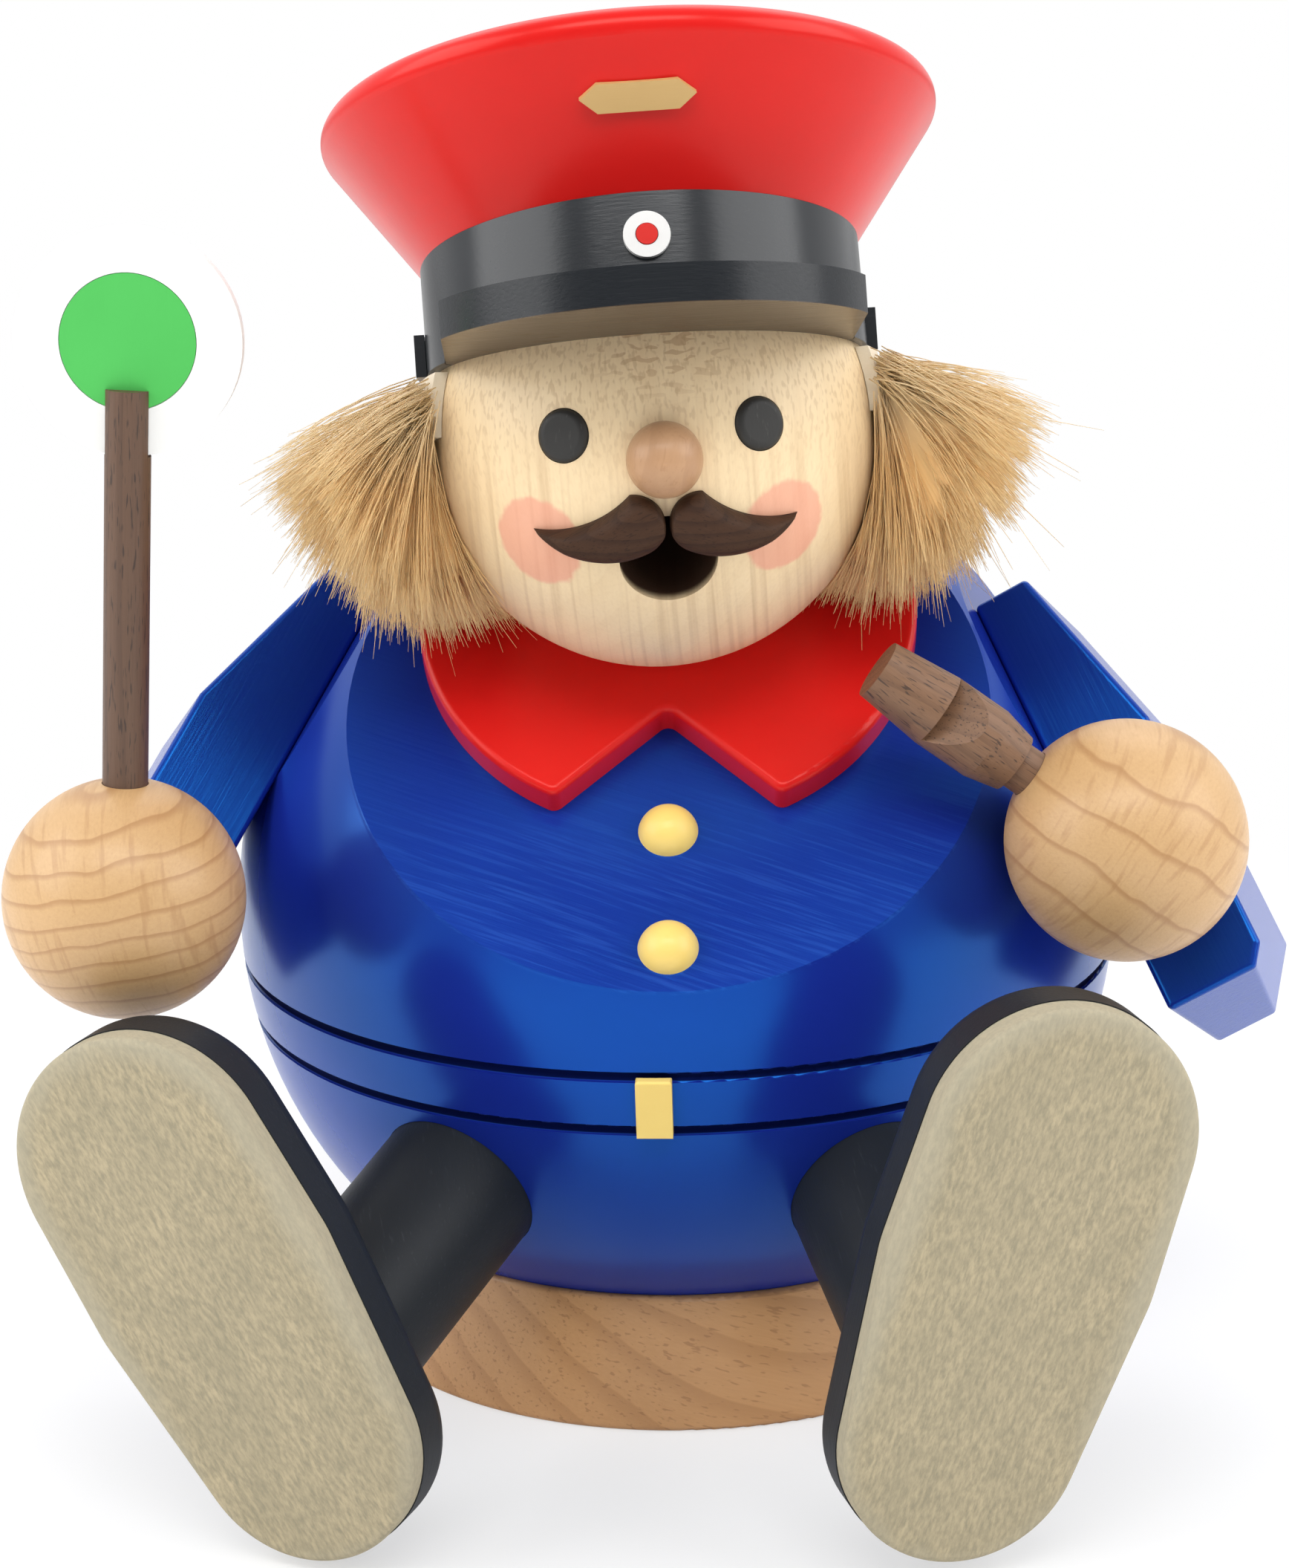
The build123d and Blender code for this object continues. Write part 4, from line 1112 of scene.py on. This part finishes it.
@dataclass
class Body:
    """The ball in two halves, its foot, belt buckle, collar and buttons, and the burner inside."""

    fibre: Triple = (0.927, -0.281, -0.248)
    cut_edges: Pair = (0.25, 0.05)
    # streak is a lighter blue, painted as highlight streaks on the chest's cut face
    streak: Colour = (0.030, 0.095, 0.46)
    highlight_streak_heights: Pair = (55.0, 45.0)
    highlight_streak_edges: Pair = (0.47, 0.68)
    highlight_streak_share: float = 0.34
    grooves: Pair = (33.4, 28.8)
    groove_edges: Pair = (0.39, 0.30)
    groove_depths: Pair = (0.02, 0.20)
    # groove is a near-black painted as shade in the grooves
    groove: Colour = (0.002, 0.004, 0.035)
    painted_groove_shade_share: float = 0.95
    bare: Colour = (0.42, 0.27, 0.14)
    bare_edges: Pair = (25.1, 24.5)
    chamber_edges: Pair = (21.0, 20.9)
    chamber_foot: Pair = (15.5, 15.7)
    chamber_top: Pair = (46.2, 46.0)
    parting_depths: Pair = (1.1, 1.3)
    draught_height: float = 26.5
    draught_edges: Pair = (3.40, 3.35)
    draught_depths: Pair = (0.1, 0.3)
    draught_side: Pair = (0.0, 1.0)
    dull_roughness: float = 0.8
    dull_specular: float = 0.02
    foot_grain: Grain = Grain((10.0, 0.0, -38.0), (0.93, 0.2, -0.3))
    gold_fibre: Triple = (1.0, 0.0, 0.25)

    @staticmethod
    def sunk(mix: Recipe, depth: Socket, depths: Pair) -> Socket:
        """A smooth step from one depth under the ball's skin to another."""
        return mix.step(depth, *(BALL_RADIUS - below for below in depths))

    def bared(self, mix: Recipe, at: Socket, height: Socket, near: Socket) -> Socket:
        """Where the wood is bare: the hollow, the chamber, the parting faces and the draught hole.

        Args:
            mix: The material being made.
            at: The place about the ball's middle.
            height: The height over the table.
            near: 1 at a groove's height.

        Returns:
            A socket that is 1 on bare wood.
        """
        depth = mix.vector("LENGTH", at)
        chamber = mix.fold(
            "MULTIPLY",
            mix.step(mix.across(at), *self.chamber_edges),
            mix.step(height, *self.chamber_foot),
            mix.step(height, *self.chamber_top),
        )
        parting = mix.sum("MULTIPLY", near, self.sunk(mix, depth, self.parting_depths))
        aside = mix.vector("SUBTRACT", mix.place(), (0.0, 0.0, self.draught_height))
        draught = mix.fold(
            "MULTIPLY",
            mix.step(mix.across(aside, (1.0, 0.0, 1.0)), *self.draught_edges),
            self.sunk(mix, depth, self.draught_depths),
            mix.step(mix.along(at, BACK), *self.draught_side),
        )
        return mix.fold("MAXIMUM", mix.step(depth, *self.bare_edges), chamber, parting, draught)

    def ball_material(self) -> Material:
        """Blue lacquer with fibres and painted highlight streaks on the chest's cut face, painted shade in
        the grooves and bare wood inside.
        """
        mix = Recipe("blue_ball")
        tone, fibres = BLUE.colours(mix, self.fibre)
        level = mix.along(mix.vector("SUBTRACT", mix.place(), CHEST.origin), CHEST.z)
        on_cut = mix.step(mix.sum("ABSOLUTE", level), *self.cut_edges)
        at = mix.place(BALL_MIDDLE)
        height = mix.sum("ADD", mix.along(at), BALL_MIDDLE[2])
        # painted highlight: lighter streaks along the fibres on the lower part of the chest's cut face
        low_cut = mix.sum("MULTIPLY", on_cut, mix.step(height, *self.highlight_streak_heights))
        streaks = mix.step(fibres, *self.highlight_streak_edges)
        streaks = mix.sum("MULTIPLY", streaks, mix.level(low_cut, 0.0, self.highlight_streak_share))
        tone = mix.mix(streaks, tone, self.streak)
        away = [mix.sum("ABSOLUTE", mix.sum("SUBTRACT", height, groove)) for groove in self.grooves]
        near = mix.step(mix.fold("MINIMUM", *away), *self.groove_edges)
        # painted shade: the grooves' floors are darkened; the same mask dulls them below
        painted_groove_shade = self.sunk(mix, mix.vector("LENGTH", at), self.groove_depths)
        painted_groove_shade = mix.sum("MULTIPLY", near, painted_groove_shade)
        tone = mix.mix(mix.level(painted_groove_shade, 0.0, self.painted_groove_shade_share), tone, self.groove)
        bared = self.bared(mix, at, height, near)
        tone = mix.mix(bared, tone, self.bare)
        material = BLUE.finish(mix, tone, mix.sum("MULTIPLY", fibres, on_cut))
        dull = mix.sum("MAXIMUM", painted_groove_shade, bared)
        mix.set(
            Roughness=mix.level(dull, BLUE.roughness, self.dull_roughness),
            Specular_IOR_Level=mix.level(dull, BLUE.specular, self.dull_specular),
        )
        return material

    def build(self) -> None:
        """Dresses the body's nodes."""
        dress(self.ball_material(), "upper_body", "lower_body")
        dress(FOOT_BEECH.material("foot_beech", self.foot_grain), "foot_disc")
        dress(RED.material("collar_red", ACROSS), "collar")
        dress(GOLD.material("gold_paint", self.gold_fibre), "belt_buckle", "button_upper", "button_lower")
        dress(STEEL.material("burner_steel", ACROSS), "burner_dish", "dish_tack")


@dataclass
class Limbs:
    """Arms, hands and what they hold, legs, shoes and soles."""

    arm_left: Triple = (0.37, -0.56, -0.74)
    arm_right: Triple = (-0.42, -0.60, -0.68)
    hand_left: Grain = Grain((0.0, -29.0, -2.0), BACK)
    hand_right: Grain = Grain((-32.0, -31.0, -12.0), (0.0, 1.0, 0.08))
    dowels: Grain = Grain((0.0, 0.0, 0.0), (1.0, 0.0, 0.3))
    baton: Grain = Grain((-48.0, -26.0, 60.0), (0.068, 0.0, 0.998))
    whistle: Grain = Grain((30.0, -20.0, 66.0), (-0.809, 0.0, 0.588))
    legs: Triple = (0.2, -0.8, -0.4)
    shoes: Triple = (0.2, 0.1, 1.0)
    sole_left: tuple[Triple, Triple] = ((25.3, -54.1, 22.8), (0.31, 0.09, 0.95))
    sole_right: tuple[Triple, Triple] = ((-33.9, -50.4, 20.8), (-0.48, 0.18, 0.86))

    def build(self) -> None:
        """Dresses the limbs' nodes."""
        dress(BLUE.material("blue_arm_left", self.arm_left), "arm_left")
        dress(BLUE.material("blue_arm_right", self.arm_right), "arm_right")
        dress(WIDE_BEECH.material("beech_hand_left", self.hand_left), "hand_left")
        dress(BEECH.material("beech_hand_right", self.hand_right), "hand_right")
        dowels = ("arm_dowel_left", "arm_dowel_right", "hand_dowel_left", "hand_dowel_right")
        dress(DOWEL_WOOD.material("dowel_wood", self.dowels), *dowels)
        dress(WALNUT.material("walnut_baton", self.baton), "baton_stick")
        dress(LIGHT_WALNUT.material("walnut_whistle", self.whistle), "whistle")
        dress(WHITE.material("white_disc"), "signal_disc")
        dress(GREEN.material("green_disc"), "signal_centre")
        dress(DULL_BLACK.material("black_legs", self.legs), "leg_left", "leg_right")
        dress(DULL_BLACK.material("black_shoes", self.shoes), "shoe_left", "shoe_right")
        dress(SOLE_BOARD.material("sole_left", *self.sole_left), "sole_left")
        dress(SOLE_BOARD.material("sole_right", *self.sole_right), "sole_right")
        dress(HIDE.material("bare_hide"), "hide_strip")


@dataclass(frozen=True)
class Lamp:
    """A soft box; its place, width and height are metres and its power is watts."""

    name: str
    place: Triple
    size: Pair
    power: float

    def light(self, aim: Triple) -> None:
        """Puts the lamp into the scene, turned to a point."""
        data = bpy.data.lights.new(self.name, "AREA")
        data.shape, data.energy = "RECTANGLE", self.power
        data.size, data.size_y = self.size
        lamp = bpy.data.objects.new(self.name, data)
        lamp.location = self.place
        lamp.rotation_euler = (Vector(aim) - Vector(self.place)).to_track_quat("-Z", "Y").to_euler()
        bpy.context.scene.collection.objects.link(lamp)


@dataclass
class Stage:
    """Camera, soft lamps, pale surround and floor."""

    target: Triple = (-2.554, -0.076, 46.53)
    azimuth: float = 1.7
    elevation: float = 15.26
    roll: float = -1.265
    distance: float = 300.0
    lens: float = 80.41
    sensor: float = 36.0
    clip: Pair = (0.01, 20.0)
    lamps: tuple[Lamp, ...] = (
        Lamp("box_left", (-0.48, -0.15, 0.34), (0.46, 0.42), 1.95),
        Lamp("box_right", (0.48, -0.14, 0.34), (0.46, 0.42), 1.85),
        Lamp("box_over", (0.0, -0.37, 0.55), (0.50, 0.20), 1.8),
        Lamp("box_behind", (0.0, 0.30, 0.48), (0.60, 0.30), 0.7),
    )
    aim: Triple = (0.0, 0.0, 0.055)
    light_fade: Pair = (-0.25, 0.55)
    lights: Pair = (0.34, 1.0)
    floor_reach: float = 3.0
    floor_fade: Pair = (40.0, 160.0)
    floor_glow: Pair = (0.55, 1.0)
    table: Colour = (0.92, 0.92, 0.92)

    def camera(self) -> None:
        """Puts the camera where the photograph was taken from."""
        a, e, r = np.radians((self.azimuth, self.elevation, self.roll))
        back = np.array([np.sin(a) * np.cos(e), -np.cos(a) * np.cos(e), np.sin(e)])
        level = np.array([np.cos(a), np.sin(a), 0.0])
        upward = np.cross(back, level)
        right = np.cos(r) * level + np.sin(r) * upward
        over = np.cos(r) * upward - np.sin(r) * level
        data = bpy.data.cameras.new("photo_camera")
        data.lens, data.sensor_width, data.sensor_fit = self.lens, self.sensor, "AUTO"
        data.clip_start, data.clip_end = self.clip
        camera = bpy.data.objects.new("photo_camera", data)
        place = (np.asarray(self.target) + self.distance * back) * METRES
        rows = np.vstack([np.column_stack([right, over, back, place]), [0.0, 0.0, 0.0, 1.0]])
        camera.matrix_world = Matrix(rows.tolist())
        bpy.context.scene.collection.objects.link(camera)
        bpy.context.scene.camera = camera

    def world(self) -> None:
        """A surround that is white to the eye; as a light it is dim in front and pale behind."""
        world = bpy.data.worlds.new("pale_surround")
        bpy.context.scene.world = world
        mix = Nodes(world)
        behind = mix.along(mix.add("TexCoord").outputs["Generated"], BACK)
        light = mix.level(mix.step(behind, *self.light_fade), *self.lights)
        strength = mix.sum("MAXIMUM", light, mix.camera_ray())
        ground = mix.add("Background", Color=WHITE_LIGHT, Strength=strength)
        mix.add("OutputWorld", Surface=ground.outputs[0])

    def floor(self) -> None:
        """A wide pale table top that keeps the figure's shadow and fades to white round it."""
        far = self.floor_reach
        corners = [(-far, -far, 0.0), (far, -far, 0.0), (far, far, 0.0), (-far, far, 0.0)]
        mesh = bpy.data.meshes.new("table_top")
        mesh.from_pydata(corners, [], [(0, 1, 2, 3)])
        floor = bpy.data.objects.new("table_top", mesh)
        material = bpy.data.materials.new("pale_table")
        mix = Nodes(material)
        away = mix.step(mix.vector("LENGTH", mix.place()), *self.floor_fade)
        share = mix.sum("MULTIPLY", mix.level(away, *self.floor_glow), mix.camera_ray())
        matt = mix.add("BsdfDiffuse", Color=self.table).outputs[0]
        glow = mix.add("Emission", Color=WHITE_LIGHT).outputs[0]
        mix.add("OutputMaterial", Surface=mix.blend(share, matt, glow))
        mesh.materials.append(material)
        bpy.context.scene.collection.objects.link(floor)

    def build(self) -> None:
        """Sets the view, the lamps and the surround."""
        self.camera()
        for lamp in self.lamps:
            lamp.light(self.aim)
        self.world()
        self.floor()
        bpy.context.scene.view_settings.view_transform = "Standard"


def main() -> None:
    """Builds the stage and every part of the figure in order."""
    logging.basicConfig(level=logging.INFO, format="%(name)s: %(message)s")
    for part in (Stage(), Body(), Limbs(), Face(), Cap(), Fur()):
        log.info("building %s", type(part).__name__)
        part.build()


if __name__ == "__main__":
    main()
